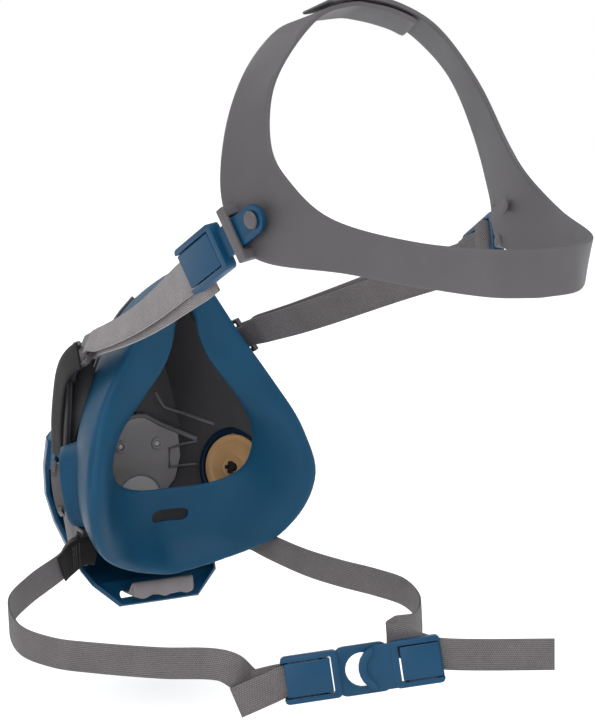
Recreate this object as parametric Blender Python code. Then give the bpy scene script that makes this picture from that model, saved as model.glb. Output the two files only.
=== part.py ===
"""Reusable half-mask respirator: silicone facepiece, quick latch, head cradle and neck strap.

Frame: +Z up from chin to nose, -Y out of the front of the mask, +X the wearer's left.
The origin is the middle of the face seal's opening, on the wearer's side.
Everything is modelled in millimetres and scaled to metres at the very end.
"""
import math

import bmesh
import bpy
from mathutils import Matrix, Vector

MM = 0.001
CLEAR = 0.35            # gap kept between touching pieces
X, Y, Z = Vector((1, 0, 0)), Vector((0, 1, 0)), Vector((0, 0, 1))

# ---- driving dimensions -------------------------------------------------------------------
# Half outlines of the silicone facepiece, nose to chin, on the wearer's left.
LIP_EDGE = [(0, -12, 49.5), (3.9, -11.5, 45), (5.2, -11, 37), (8.4, -10, 28.5), (13.2, -9.2, 21.5),
            (22, -9.5, 10.5), (29.5, -12, -1),
            (31.5, -14.5, -12), (28.5, -18, -21.5), (17, -23, -27), (0, -25, -28)]
LIP_CREST = [(0, -5, 59), (9.5, -9, 45), (22, -8.5, 29), (35, -4, 10), (42.5, 3.5, -6),
             (43, 4.5, -24), (34, -7, -39), (18, -24, -46), (0, -33, -49)]
RIM = [(0, 0, 65), (11, -8, 54), (23, -10.5, 38), (38, -7, 16), (48, 1, -4),
       (51.3, 4.5, -26), (41.3, -4.5, -48), (21, -19, -60), (0, -26.5, -66)]
BODY_REAR = [(0, -17, 65), (11, -21, 52), (22, -23, 37), (35, -21.5, 16), (44.5, -17, -4),
             (46.5, -16, -26), (37, -24, -47), (20, -36, -59), (0, -42, -63)]
BODY_MIDDLE = [(0, -40, 57), (10, -41, 46), (19, -41, 33), (29.5, -39, 15), (37.5, -36, -4),
               (39, -35, -24), (31, -42, -42), (17, -51, -52), (0, -55, -55)]
BODY_FRONT = [(0, -61, 47.5), (8, -61, 39), (14, -61, 28), (20, -61, 13), (24.5, -61, -3),
              (26, -61, -20), (22.5, -61, -34), (13, -61, -43), (0, -61, -46)]
SILICONE = 2.4          # wall of the facepiece
ADAPTER_WALL = 2.0      # wall of the rigid inner shell
FLANGE = 1.2            # front flange of the rigid inner shell
SCREW = Vector((8.6, -62.5, -15.5))             # left cover screw
RING_STEPS = 22         # stations on each half outline

PORT_CENTRE = Vector((33.1, -33.3, -24.1))      # inhalation valve seat, left side
PORT_YAW, PORT_DROP = math.radians(30), math.radians(8)
PORT_AXIS = Vector((math.cos(PORT_YAW) * math.cos(PORT_DROP),
                    -math.sin(PORT_YAW) * math.cos(PORT_DROP), -math.sin(PORT_DROP)))
FLAP_R, STUD_R = 14.0, 1.9
TUBE_R, TUBE_END = 10.2, 14.5                   # bayonet tube: outer radius, outer face
COLLAR_R, COLLAR_END = 16.6, 10.0               # silicone collar round the bayonet
PORT_STEPS = 32

EXHALE_CENTRE = Vector((0, -63.5, -36.6))       # exhalation port low in the front plate
EXHALE_AXIS = Vector((0, -0.94, -0.34)).normalized()
EXHALE_R = 7.2

LOOP_BAR = Vector((34.6, -24.9, 33.6))          # yoke bar that the left upper strap turns on
LOOP_WIDTH, STRAP_SAG = 9.6, 2.5
BAR_HALF, LOOP_TURN = 0.8, 2.6                  # half width of that bar; radius at which the strap turns on it
YOKE_NOTCH = [(-27, 44), (-25, 24), (-20, 13), (-11, 7), (0, 5), (11, 7), (20, 13), (25, 24), (27, 44)]
PANEL_NORMAL = Vector((0.95, 0.27, -0.12)).normalized()     # outer face of the cradle at the stud
CRADLE_STUD = Vector((50.9, 141.0, 94.1))
BUCKLE_CENTRE = Vector((53.5, 114.5, 80.5))
STUD_REACH = (CRADLE_STUD - BUCKLE_CENTRE).length
SLIDER_HALF, CAM_HALF = 8.2, 5.9                # half widths of a slider and of its locking plate
NECK_BAR = Vector((34.4, -38.4, -52.0))         # bar of the yoke's lug that the left neck strap turns on
TURN = 2.9                                      # radius at which the neck strap turns on its bar
LUG_FACES = (33.4, 35.2)                        # inner and outer faces of that lug
LUG_OUTLINE = [(-60, -14), (-54.3, -14), (-54.3, -34), (-49, -43.5), (-37.4, -44.6), (-37.4, -59.6),
               (-46.5, -59.6), (-54, -52), (-60, -38)]
LUG_SLOT = [(-43.9, -58), (-39.3, -58), (-39.3, -46), (-43.9, -46)]
LATCH_PIVOT = Vector((35.1, -58.6, 2.0))        # inner end of the latch's left pivot pin
EAR_FACES = (36.0, 37.1)                        # inner and outer faces of the latch's ears
EAR_OUTLINE = [(-70, -24), (-64.5, -24), (-56, -6), (-55.3, 1), (-55.6, 4), (-58, 5.6), (-60.5, 5.2),
               (-62, 3), (-64.5, -6), (-69.5, -12)]
WEB_WIDTH, WEB_THICK = 12.0, 1.2                # strap webbing

# Half rails of the moulded head cradle, crown to back of the head, on the wearer's left.
CRADLE_REAR = [(0, 119, 164.5), (14, 122, 161.5), (27, 127.5, 153), (40, 132, 136), (45.8, 140, 117.5),
               (46, 151.5, 106.5), (43.5, 173.5, 95.5), (32.5, 203, 90), (16, 217, 88.3), (0, 220, 87.8)]
CRADLE_FRONT = [(0, 108, 160.5), (14, 106.5, 158.5), (26, 107.5, 154), (40.5, 113, 139.5), (49.5, 116.5, 119),
                (53, 122, 97), (48.5, 135, 80.8), (42, 182, 79.2), (19, 215, 74.5), (0, 219.5, 73.3)]
CRADLE_THICK = 1.6
CROWN_LIFT = 1.35         # half the spacing of the crown straps where they overlap
CROWN_FOOT = 100.0        # height under which the cradle is one band
CROWN_INNER, CROWN_OUTER = 27.0, 17.5   # how far each crown strap runs past the middle

COLOURS = {
    "silicone_blue": ((0.027, 0.090, 0.165), 0.5),
    "plastic_blue": ((0.022, 0.100, 0.200), 0.38),
    "plastic_grey": ((0.120, 0.113, 0.120), 0.5),
    "plastic_dark": ((0.030, 0.029, 0.032), 0.5),
    "plastic_light": ((0.290, 0.280, 0.300), 0.45),
    "cradle_grey": ((0.150, 0.140, 0.150), 0.55),
    "webbing_grey": ((0.250, 0.235, 0.240), 0.85),
    "webbing_dark": ((0.060, 0.055, 0.058), 0.85),
    "valve_tan": ((0.350, 0.250, 0.110), 0.5),
    "gasket_black": ((0.020, 0.020, 0.022), 0.6),
}


# ---- modelling helpers --------------------------------------------------------------------
def material(slot):
    """The Principled material of one slot, made once."""
    if slot in bpy.data.materials:
        return bpy.data.materials[slot]
    made = bpy.data.materials.new(slot)
    made.use_nodes = True
    colour, roughness = COLOURS[slot]
    shader = made.node_tree.nodes["Principled BSDF"]
    shader.inputs["Base Color"].default_value = (*colour, 1)
    shader.inputs["Roughness"].default_value = roughness
    shader.inputs["Metallic"].default_value = 0
    return made


def build(name, points, faces, slot):
    """A mesh object from points, with its faces turned outwards."""
    shape = bmesh.new()
    corners = [shape.verts.new(Vector(point)) for point in points]
    for face in faces:
        shape.faces.new([corners[index] for index in face])
    bmesh.ops.recalc_face_normals(shape, faces=shape.faces)
    mesh = bpy.data.meshes.new(name)
    shape.to_mesh(mesh)
    shape.free()
    mesh.materials.append(material(slot))
    item = bpy.data.objects.new(name, mesh)
    bpy.context.scene.collection.objects.link(item)
    return item


def combine(target, tool, operation):
    """Join or cut the target with a tool, and remove the tool."""
    step = target.modifiers.new(operation, "BOOLEAN")
    step.operation = operation
    step.object = tool
    bpy.context.view_layer.update()
    graph = bpy.context.evaluated_depsgraph_get()
    mesh = bpy.data.meshes.new_from_object(target.evaluated_get(graph))
    target.modifiers.clear()
    target.data = mesh
    bpy.data.objects.remove(tool)
    return target


def spline(points, count, closed=False):
    """Points spread evenly by length along a smooth curve through the given points."""
    knots = [Vector(point) for point in points]
    if closed:
        knots = [knots[-1]] + knots + knots[:2]
    else:
        knots = [knots[0] * 2 - knots[1]] + knots + [knots[-1] * 2 - knots[-2]]
    dense = []
    for a, b, c, d in zip(knots, knots[1:], knots[2:], knots[3:]):
        for step in range(16):
            t = step / 16
            dense.append(0.5 * (2 * b + (c - a) * t + (2 * a - 5 * b + 4 * c - d) * t ** 2
                                + (3 * b - a - 3 * c + d) * t ** 3))
    dense.append(knots[-2])
    return resample(dense, count)


def resample(dense, count):
    """The same polyline with evenly spread points, ends kept."""
    reach = [0.0]
    for a, b in zip(dense, dense[1:]):
        reach.append(reach[-1] + (b - a).length)
    result, place = [], 0
    for step in range(count):
        want = reach[-1] * step / (count - 1)
        while place < len(dense) - 2 and reach[place + 1] < want:
            place += 1
        span = reach[place + 1] - reach[place]
        share = (want - reach[place]) / span if span else 0
        result.append(dense[place].lerp(dense[place + 1], share))
    return result


def mirrored(point):
    return Vector((-point[0], point[1], point[2]))


def full_ring(half, steps=RING_STEPS):
    """A closed symmetric outline from a half one that starts and ends at X = 0."""
    left = spline(half, steps)
    left[0].x = left[-1].x = 0
    return left + [mirrored(point) for point in reversed(left[1:-1])]


def loft(name, rings, slot, wrap=True, domed=False):
    """A skin over closed rings; wrap joins the last ring to the first, else both ends are filled.

    A domed end is a fan of triangles round its middle, for rings that aren't flat.
    """
    size = len(rings[0])
    points = [point for ring in rings for point in ring]
    faces = []
    for row in range(len(rings) if wrap else len(rings) - 1):
        here, there = row * size, (row + 1) % len(rings) * size
        for index in range(size):
            after = (index + 1) % size
            faces.append((here + index, here + after, there + after, there + index))
    for start in () if wrap else (0, (len(rings) - 1) * size):
        if not domed:
            faces.append(tuple(range(start, start + size)))
            continue
        points.append(sum(points[start:start + size], Vector()) / size)
        faces += [(len(points) - 1, start + index, start + (index + 1) % size) for index in range(size)]
    return build(name, points, faces, slot)


def turned(name, profile, centre, axis, slot, steps=PORT_STEPS):
    """A turned solid: profile is a closed loop of (radius, height along the axis)."""
    axis = axis.normalized()
    side = axis.orthogonal().normalized()
    other = axis.cross(side)
    points, places = [], []
    for radius, height in profile:
        if radius == 0:
            places.append([len(points)] * steps)
            points.append(centre + axis * height)
            continue
        places.append(list(range(len(points), len(points) + steps)))
        for step in range(steps):
            angle = 2 * math.pi * step / steps
            points.append(centre + axis * height
                          + (side * math.cos(angle) + other * math.sin(angle)) * radius)
    faces = []
    for row in range(len(profile)):
        here, there = places[row], places[(row + 1) % len(profile)]
        for index in range(steps):
            after = (index + 1) % steps
            corners = (here[index], here[after], there[after], there[index])
            face = tuple(dict.fromkeys(corners))
            if len(face) > 2:
                faces.append(face)
    return build(name, points, faces, slot)


def prism(name, outline, centre, along, across, low, high, slot):
    """A flat plate: outline is (along, across) pairs, low and high are its faces on the normal."""
    normal = along.cross(across).normalized()
    flat = [centre + along * a + across * b for a, b in outline]
    rings = [[point + normal * level for point in flat] for level in (low, high)]
    return loft(name, rings, slot, wrap=False)


def block(name, low, high, centre, along, across, slot):
    """A box between two corners given as (along, across, normal)."""
    outline = [(low[0], low[1]), (high[0], low[1]), (high[0], high[1]), (low[0], high[1])]
    return prism(name, outline, centre, along, across, low[2], high[2], slot)


def rounded(low, high, radius, steps=3):
    """A rectangle with round corners, as (along, across) pairs."""
    corners = [(high[0], high[1], 0), (low[0], high[1], 90), (low[0], low[1], 180), (high[0], low[1], 270)]
    outline = []
    for along, across, start in corners:
        inward_a = -radius if along == high[0] else radius
        inward_b = -radius if across == high[1] else radius
        for step in range(steps + 1):
            angle = math.radians(start + 90 * step / steps)
            outline.append((along + inward_a + radius * math.cos(angle),
                            across + inward_b + radius * math.sin(angle)))
    return outline


def ribbon(name, path, across, slot, width=WEB_WIDTH, thick=WEB_THICK):
    """Flat webbing along a path; across and width hold one value for each point of the path."""
    rings = []
    widths = width if isinstance(width, list) else [width] * len(path)
    for index, point in enumerate(path):
        ahead = path[min(index + 1, len(path) - 1)] - path[max(index - 1, 0)]
        ahead.normalize()
        wide = across[index] - ahead * across[index].dot(ahead)
        wide = wide.normalized() * (widths[index] / 2)
        flat = ahead.cross(wide).normalized() * (thick / 2)
        rings.append([point - wide - flat, point + wide - flat, point + wide + flat, point - wide + flat])
    return loft(name, rings, slot, wrap=False)


def sheet(name, rows, thick, slot):
    """A shell of even wall from rows of points."""
    columns = len(rows[0])
    count = len(rows)
    ups = []
    for r in range(count):
        line = []
        for c in range(columns):
            down = rows[min(r + 1, count - 1)][c] - rows[max(r - 1, 0)][c]
            side = rows[r][min(c + 1, columns - 1)] - rows[r][max(c - 1, 0)]
            line.append(down.cross(side).normalized() * (thick / 2))
        ups.append(line)
    cells = [(r, c) for r in range(count - 1) for c in range(columns - 1)]
    lookup, points, faces, edges = {}, [], [], {}

    def corner(r, c, face):
        key = (r, c, face)
        if key not in lookup:
            lookup[key] = len(points)
            points.append(rows[r][c] + ups[r][c] * face)
        return lookup[key]

    for r, c in cells:
        cell = [(r, c), (r, c + 1), (r + 1, c + 1), (r + 1, c)]
        for face in (1, -1):
            faces.append([corner(*place, face) for place in cell])
        for a, b in zip(cell, cell[1:] + cell[:1]):
            edge = frozenset((a, b))
            edges[edge] = None if edge in edges else (a, b)
    for border in edges.values():
        if border:
            a, b = border
            faces.append([corner(*a, 1), corner(*b, 1), corner(*b, -1), corner(*a, -1)])
    return build(name, points, faces, slot)


def inset_ring(ring, depth, forward=0.0):
    """The ring moved towards the mask's own axis by a wall depth, and forward along -Y."""
    moved = []
    for point in ring:
        middle = Vector((0, point.y, -4 if abs(point.x) > 1e-6 or point.z < 0 else 8))
        inward = (middle - point).normalized()
        moved.append(point + inward * depth + Vector((0, -forward, 0)))
    return moved


# ---- facepiece ----------------------------------------------------------------------------
def face_seal():
    """Soft silicone facepiece: lip, rolled rim, cheek walls and the two port collars."""
    lip, crest, rim = full_ring(LIP_EDGE), full_ring(LIP_CREST), full_ring(RIM)
    rear, middle, front = full_ring(BODY_REAR), full_ring(BODY_MIDDLE), full_ring(BODY_FRONT)
    back = Vector((0, 1.6, 0))
    rings = [lip, crest, [a.lerp(b, 0.75) + back for a, b in zip(crest, rim)], rim, rear, middle, front,
             inset_ring(front, SILICONE), inset_ring(middle, SILICONE), inset_ring(rear, SILICONE),
             inset_ring(rim, SILICONE, 4.5), [point + Vector((0, -2.6, 0)) for point in inset_ring(crest, 1.0)],
             [point + Vector((0, -1.5, 0)) for point in lip]]
    seal = loft("face_seal", rings, "silicone_blue")
    space = [inset_ring(ring, SILICONE - 0.3) for ring in (rim, rear, middle, front)]
    space.append([point + Vector((0, -4, 0)) for point in space[-1]])
    for side in (1, -1):
        centre, axis = port(side)
        collar = [(COLLAR_R - 3.0, -5), (COLLAR_R + 1.5, -5), (COLLAR_R, COLLAR_END), (COLLAR_R - 1.6, COLLAR_END)]
        collar = turned("collar", collar, centre, axis, "silicone_blue")
        combine(collar, loft("space", space, "silicone_blue", False, True), "DIFFERENCE")
        combine(seal, collar, "UNION")
        bore = [(0, -9), (COLLAR_R - 2.0, -9), (COLLAR_R - 2.0, COLLAR_END - 1), (0, COLLAR_END - 1)]
        combine(seal, turned("bore", bore, centre, axis, "silicone_blue"), "DIFFERENCE")
    slot = rounded((-8.4, -2.7), (8.4, 2.7), 2.5)
    chin = prism("chin_slot", slot, Vector((0, -33, -40.5)), X, Z, -9, 9, "silicone_blue")
    return combine(seal, chin, "DIFFERENCE")


def port(side):
    """Centre and outward axis of one inhalation port."""
    centre, axis = PORT_CENTRE.copy(), PORT_AXIS.copy()
    if side < 0:
        centre, axis = mirrored(centre), mirrored(axis)
    return centre, axis


def center_adapter():
    """Rigid inner shell that carries the ports, open towards the face."""
    outer = [inset_ring(full_ring(BODY_REAR), SILICONE + 0.6), inset_ring(full_ring(BODY_MIDDLE), SILICONE + 0.6),
             inset_ring(full_ring(BODY_FRONT), SILICONE + 0.6)]
    outer[0] = [a.lerp(b, 0.42) for a, b in zip(outer[0], outer[1])]
    flange = inset_ring(full_ring(BODY_FRONT), -0.5, CLEAR + 0.6)
    neck = [point + Vector((0, -(CLEAR + 0.6), 0)) for point in outer[2]]
    front = [point + Vector((0, -FLANGE, 0)) for point in flange]
    inner = [inset_ring(ring, ADAPTER_WALL) for ring in outer]
    size = len(front)
    rings = [front, flange, neck, outer[2], outer[1], outer[0], inner[0], inner[1],
             [point + Vector((0, 0.8, 0)) for point in inner[2]]]
    points = [point for ring in rings for point in ring]
    faces = []
    for row in range(len(rings) - 1):
        for index in range(size):
            after = (index + 1) % size
            faces.append((row * size + index, row * size + after,
                          (row + 1) * size + after, (row + 1) * size + index))
    faces += [tuple(range(size)), tuple(range((len(rings) - 1) * size, len(rings) * size))]
    shell = build("center_adapter", points, faces, "plastic_dark")
    for side in (1, -1):
        centre, axis = port(side)
        hole = [(0, -9), (FLAP_R + 2.2, -9), (FLAP_R + 2.2, 12), (0, 12)]
        combine(shell, turned("hole", hole, centre, axis, "plastic_dark"), "DIFFERENCE")
    hole = [(0, -9), (EXHALE_R + 0.6, -9), (EXHALE_R + 0.6, 9), (0, 9)]
    combine(shell, turned("hole", hole, EXHALE_CENTRE, EXHALE_AXIS, "plastic_dark"), "DIFFERENCE")
    for side in (1, -1):
        hole = [(0, -6), (1.6, -6), (1.6, 8), (0, 8)]
        combine(shell, turned("hole", hole, Vector((SCREW.x * side, SCREW.y, SCREW.z)), -Y, "plastic_dark", 16),
                "DIFFERENCE")
    return shell


def bayonet(side, label):
    """Bayonet ring of one filter port, with its valve seat, spider, centre stud and three lugs."""
    centre, axis = port(side)
    seat_r, wall = COLLAR_R - 2.4, TUBE_R - 1.6
    profile = [(wall, 0.4), (seat_r, 0.4), (seat_r, 2.4), (TUBE_R, 2.4), (TUBE_R, TUBE_END), (wall, TUBE_END)]
    ring = turned(f"{label}_bayonet", profile, centre, axis, "plastic_grey")
    hub = [(0, 0.4), (2.6, 0.4), (2.6, 3.4), (0, 3.4)]
    combine(ring, spider(centre, axis, wall + 0.5, 0.8, "plastic_grey"), "UNION")
    combine(ring, turned("hub", hub, centre, axis, "plastic_grey", 16), "UNION")
    stud = [(0, -3.0), (1.3, -3.0), (1.5, -2.2), (1.5, 1.2), (0, 1.2)]
    combine(ring, turned("stud", stud, centre, axis, "plastic_grey", 16), "UNION")
    up = (Z - axis * Z.dot(axis)).normalized()
    around = axis.cross(up)
    for step in range(3):
        angle = math.radians(90 + 120 * step)
        radial = up * math.cos(angle) + around * math.sin(angle)
        tangent = axis.cross(radial)
        lug = block("lug", (TUBE_R - 0.8, -3.5, TUBE_END - 2.2), (TUBE_R + 1.2, 3.5, TUBE_END - 0.4),
                    centre, radial, tangent, "plastic_grey")
        combine(ring, lug, "UNION")
    return ring


def spider(centre, axis, reach, low, slot):
    """Four crossed arms over a port; one bar is a little thinner so that no faces coincide."""
    up = (Z - axis * Z.dot(axis)).normalized()
    around = axis.cross(up)
    bar = block("spoke", (-reach, -0.8, low), (reach, 0.8, low + 1.6), centre, up, around, slot)
    other = block("spoke", (-reach, -0.75, low + 0.05), (reach, 0.75, low + 1.55), centre, around, -up, slot)
    return combine(bar, other, "UNION")


def inhalation_flap(side, label):
    """Thin valve disc held on the stud at the inner side of the seat."""
    centre, axis = port(side)
    profile = [(STUD_R, -0.9), (FLAP_R, -0.9), (FLAP_R, 0.0), (STUD_R, 0.0)]
    return turned(f"{label}_inhalation_flap", profile, centre, axis, "valve_tan")


def port_gasket(side, label):
    """Sealing ring between the bayonet tube and the silicone collar."""
    centre, axis = port(side)
    inner, outer = TUBE_R + CLEAR, COLLAR_R - 2.4
    profile = [(inner, 2.8), (outer, 2.8), (outer, 6.2), (inner, 6.2)]
    return turned(f"{label}_port_gasket", profile, centre, axis, "gasket_black")


def exhalation_seat():
    """Valve seat ring with its spider, set in the front plate."""
    wall = EXHALE_R - 2.0
    profile = [(wall, -2.4), (EXHALE_R, -2.4), (EXHALE_R, 4.6), (wall, 4.6)]
    seat = turned("exhalation_seat", profile, EXHALE_CENTRE, EXHALE_AXIS, "plastic_light")
    combine(seat, spider(EXHALE_CENTRE, EXHALE_AXIS, wall + 0.5, 1.2, "plastic_light"), "UNION")
    hub = [(0, 0.8), (2.6, 0.8), (2.6, 3.4), (0, 3.4)]
    return combine(seat, turned("hub", hub, EXHALE_CENTRE, EXHALE_AXIS, "plastic_light", 16), "UNION")


def exhalation_flap():
    """Mushroom valve disc on the outer side of its seat."""
    rise = 5.0
    profile = [(0, rise), (EXHALE_R + 0.2, rise), (EXHALE_R + 0.2, rise + 0.9), (2.5, rise + 1.4), (0, rise + 1.4)]
    return turned("exhalation_flap", profile, EXHALE_CENTRE, EXHALE_AXIS, "gasket_black")


# ---- front: yoke, cover, latch --------------------------------------------------------------
def curved_row(centre, edge, columns=6):
    """One row of a bowl-shaped sheet from its middle (y, z) to its side edge (x, y, z)."""
    row = []
    for step in range(columns):
        share = step / (columns - 1)
        angle = share * math.pi / 2
        row.append(Vector((edge[0] * math.sin(angle), centre[0] + (edge[1] - centre[0]) * (1 - math.cos(angle)),
                           centre[1] + (edge[2] - centre[1]) * share ** 2)))
    return [mirrored(point) for point in reversed(row[1:])] + row


def front_cover():
    """Vented cover over the exhalation valve and the middle of the yoke."""
    cover = sheet("front_cover", [curved_row(*row) for row in (
        ((-71, 27), (12, -68, 24)), ((-79, 20), (17.5, -71, 18)), ((-83, 5), (20, -73.2, 4)),
        ((-84, -10), (20.5, -74.2, -10)), ((-83.5, -24), (20, -74.2, -24)))], 1.8, "plastic_dark")
    for level in (-17, -10, -3, 4):
        vent = block("vent", (-9, -1.2, -95), (9, 1.2, -60), Vector((0, 0, level)), X, Z, "plastic_dark")
        combine(cover, vent_flip(vent), "DIFFERENCE")
    return cover


def vent_flip(vent):
    """X cross Z points along -Y, so the block's levels are mirrored to reach the cover."""
    for vertex in vent.data.vertices:
        vertex.co.y = -vertex.co.y
    vent.data.flip_normals()
    return vent


def upper_strap_frame(side):
    """Start of an upper strap on its bar, with the strap's own directions along and across."""
    start, end = LOOP_BAR, BUCKLE_CENTRE
    along = (end - start).normalized()
    upright = (Z * -1 + along * along.z).normalized()
    outward = along.cross(upright)
    tilt = math.radians(-28)
    across = upright * math.cos(tilt) + outward * math.sin(tilt)
    if side < 0:
        along, across, start = mirrored(along), mirrored(across), mirrored(start)
    return start, along, across


def harness_yoke():
    """Grey frame over the front of the mask; two arms rise to the strap bars, two lugs hang below."""
    rows = [curved_row(*row, columns=8) for row in (
        ((-69.5, 30), (34.5, -38, 32)), ((-71, 23), (35.5, -44, 24)), ((-72.5, 14), (36, -46.5, 15)),
        ((-73, 4), (36, -48, 4)), ((-72.5, -8), (36, -50, -8)), ((-72, -22), (35, -53, -22)))]
    yoke = sheet("harness_yoke", rows, 2.2, "plastic_grey")
    notch = prism("notch", YOKE_NOTCH, Vector((0, -60, 0)), X, Z, -30, 30, "plastic_grey")
    combine(yoke, notch, "DIFFERENCE")
    window = prism("window", rounded((-13.5, -20), (13.5, 10), 5), Vector((0, -70, -8)), X, Z, -8, 8, "plastic_grey")
    combine(yoke, window, "DIFFERENCE")
    for side in (1, -1):
        start, along, across = upper_strap_frame(side)
        combine(yoke, arm_top(side, start, along, across), "UNION")
        slot = block("slot", (-5.9, -6.4, -6), (-BAR_HALF, 6.4, 6), start, along, across, "plastic_grey")
        combine(yoke, slot, "DIFFERENCE")
        combine(yoke, side_plate(side, LUG_OUTLINE, 0), "UNION")
        combine(yoke, side_plate(side, LUG_SLOT, 3), "DIFFERENCE")
    return yoke


def side_plate(side, outline, margin):
    """Upright plate (Y, Z outline) at the side of the yoke, thicker by the margin when it is a cutter."""
    low, high = sorted(((LUG_FACES[0] - margin) * side, (LUG_FACES[1] + margin) * side))
    return prism("plate", outline, Vector(), Y, Z, low, high, "plastic_grey")


def arm_top(side, start, along, across):
    """Head of one yoke arm, up to the bar at its tip."""
    normal = along.cross(across).normalized()
    bar, root_in = start, Vector((32 * side, -47, 22))
    rings = []
    stations = [(bar + along * BAR_HALF, across * 7.8, 1.0), (bar - along * 6.0, across * 7.8, 1.0),
                (bar.lerp(root_in, 0.55) + Vector((1.5 * side, -1, 2)), across * 7.2, 1.1), (root_in, across * 6.5, 1.2)]
    for point, wide, half in stations:
        rings.append([point - wide - normal * half, point + wide - normal * half,
                      point + wide + normal * half, point - wide + normal * half])
    return loft("arm", rings, "plastic_grey", wrap=False)


def quick_latch():
    """Blue scoop-shaped release lever over the lower front, with the slotted pull plate."""
    rows = [((-86.5, -8), (37.2, -66, -12)), ((-90, -24), (37.8, -68.5, -23)), ((-90, -37), (37, -69.5, -35)),
            ((-86, -50), (34.5, -66.5, -46)), ((-77, -61), (31.8, -59.5, -56)), ((-62, -68), (30.5, -49, -64.5)),
            ((-45.5, -71), (28.5, -42.5, -69.5)), ((-39.5, -79.5), (18, -38.5, -79))]
    latch = sheet("quick_latch", [curved_row(*row, columns=7) for row in rows], 1.8, "plastic_blue")
    slot = prism("slot", rounded((-17.4, -1.5), (17.4, 1.5), 1.2), Vector((0, -41, -75.2)), X, Z, -6, 6, "plastic_blue")
    combine(latch, slot, "DIFFERENCE")
    for side in (1, -1):
        low, high = sorted((EAR_FACES[0] * side, EAR_FACES[1] * side))
        combine(latch, prism("ear", EAR_OUTLINE, Vector(), Y, Z, low, high, "plastic_blue"), "UNION")
        eye = [(0, -1), (2.0, -1), (2.0, 9), (0, 9)]
        centre = Vector((LATCH_PIVOT.x * side, LATCH_PIVOT.y, LATCH_PIVOT.z))
        combine(latch, turned("eye", eye, centre, X * side, "plastic_blue", 20), "DIFFERENCE")
    return latch


def latch_pin(side, label):
    """Headed pin in the side of the yoke that one ear of the lever turns on."""
    profile = [(0, 0), (1.6, 0), (1.6, 2.3), (2.8, 2.3), (2.8, 2.8), (0, 2.8)]
    centre = Vector((LATCH_PIVOT.x * side, LATCH_PIVOT.y, LATCH_PIVOT.z))
    return turned(f"{label}_latch_pin", profile, centre, X * side, "plastic_grey", 20)


def latch_web():
    """Webbing tab threaded through the slot of the pull plate."""
    path = spline([(0, -53, -73.8), (0, -47, -75.0), (0, -41, -75.2), (0, -37, -75.1), (0, -35.1, -76.6),
                   (0, -34.9, -79)], 14)
    return ribbon("latch_web", path, [X] * len(path), "webbing_grey", 30.0, 1.1)


def arm_strap(side, label):
    """Dark webbing that runs down the outer side of one yoke arm to the latch."""
    path = spline([(40.0, -42.5, 24.6), (39.7, -46.2, 20.6), (39.2, -50, 14), (38.8, -53, 4),
                   (38.6, -54, -4), (38.0, -56.5, -9.5)], 14)
    across = [Y] * len(path)
    if side < 0:
        path = [mirrored(point) for point in path]
    return ribbon(f"{label}_arm_strap", path, across, "webbing_dark", 11.0, 1.0)


def cover_screw(side, label):
    """Screw that holds the cover through the inner shell."""
    profile = [(0, -1.5), (1.9, -1.5), (2.4, -1.1), (2.4, 0), (1.1, 0), (1.1, 7), (0, 7)]
    return turned(f"{label}_cover_screw", profile, Vector((SCREW.x * side, -59.7, SCREW.z)), -Y,
                  "plastic_light", 16)


# ---- head harness ---------------------------------------------------------------------------
def buckle_frame(side):
    """Centre and directions of a cradle buckle: towards the stud, across, outward."""
    along = (CRADLE_STUD - BUCKLE_CENTRE).normalized()
    outward = (PANEL_NORMAL - along * along.dot(PANEL_NORMAL)).normalized()
    across = along.cross(outward)
    centre = BUCKLE_CENTRE.copy()
    if side < 0:
        centre, along, across, outward = mirrored(centre), mirrored(along), mirrored(across), mirrored(outward)
    return centre, along, across, outward


def upper_strap(side, label):
    """Webbing doubled back through the yoke bar, its outer run turned round the buckle's bar."""
    start, along, across = upper_strap_frame(1)
    normal = along.cross(across)
    normal = normal if normal.x > 0 else -normal
    centre, towards, wide, outward = buckle_frame(1)
    wide = wide if wide.dot(across) > 0 else -wide

    def near_bar(distance, height):
        return start + along * distance + normal * height, across, LOOP_WIDTH if distance < 8 else WEB_WIDTH

    def near_buckle(distance, height):
        return centre + towards * distance + outward * height, wide, WEB_WIDTH

    def between(share, height):
        first, last = near_bar(14, 0)[0], near_buckle(-16, 0)[0]
        sag = STRAP_SAG * math.sin(math.pi * share)
        flat = normal.lerp(outward, share).normalized()
        return first.lerp(last, share) + flat * (height - sag), across.lerp(wide, share), WEB_WIDTH

    turn = LOOP_TURN
    inner = [near_buckle(-9, -3.4), near_buckle(-16, -3.3)]
    inner += [between(share, -2.0 - 0.9 * share) for share in (0.8, 0.6, 0.4, 0.2)]
    inner += [near_bar(13, -1.9), near_bar(5, -turn + 0.1)]
    inner += [near_bar(turn * math.cos(math.radians(t)), turn * math.sin(math.radians(t))) for t in range(270, 80, -30)]
    outer = [near_bar(5, turn - 0.1), near_bar(13, 0.9)]
    outer += [between(share, 0.5 - 1.6 * share) for share in (0.2, 0.4, 0.6, 0.8)]
    outer += [near_buckle(-16, -1.4), near_buckle(-12.5, -1.1), near_buckle(-8, -0.7), near_buckle(-3, 0.9),
              near_buckle(2.5, 2.0)]
    turn = 1.85
    outer += [near_buckle(4.5 + turn * math.cos(math.radians(t)), 0.15 + turn * math.sin(math.radians(t)))
              for t in range(80, -91, -34)]
    outer.append(near_buckle(1.5, -1.7))
    stations = inner + outer
    path = [point for point, _, _ in stations]
    flats = [flat for _, flat, _ in stations]
    widths = [width for _, _, width in stations]
    if side < 0:
        path, flats = [mirrored(point) for point in path], [mirrored(flat) for flat in flats]
    return ribbon(f"{label}_upper_strap", path, flats, "webbing_grey", widths, 1.1)


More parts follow.
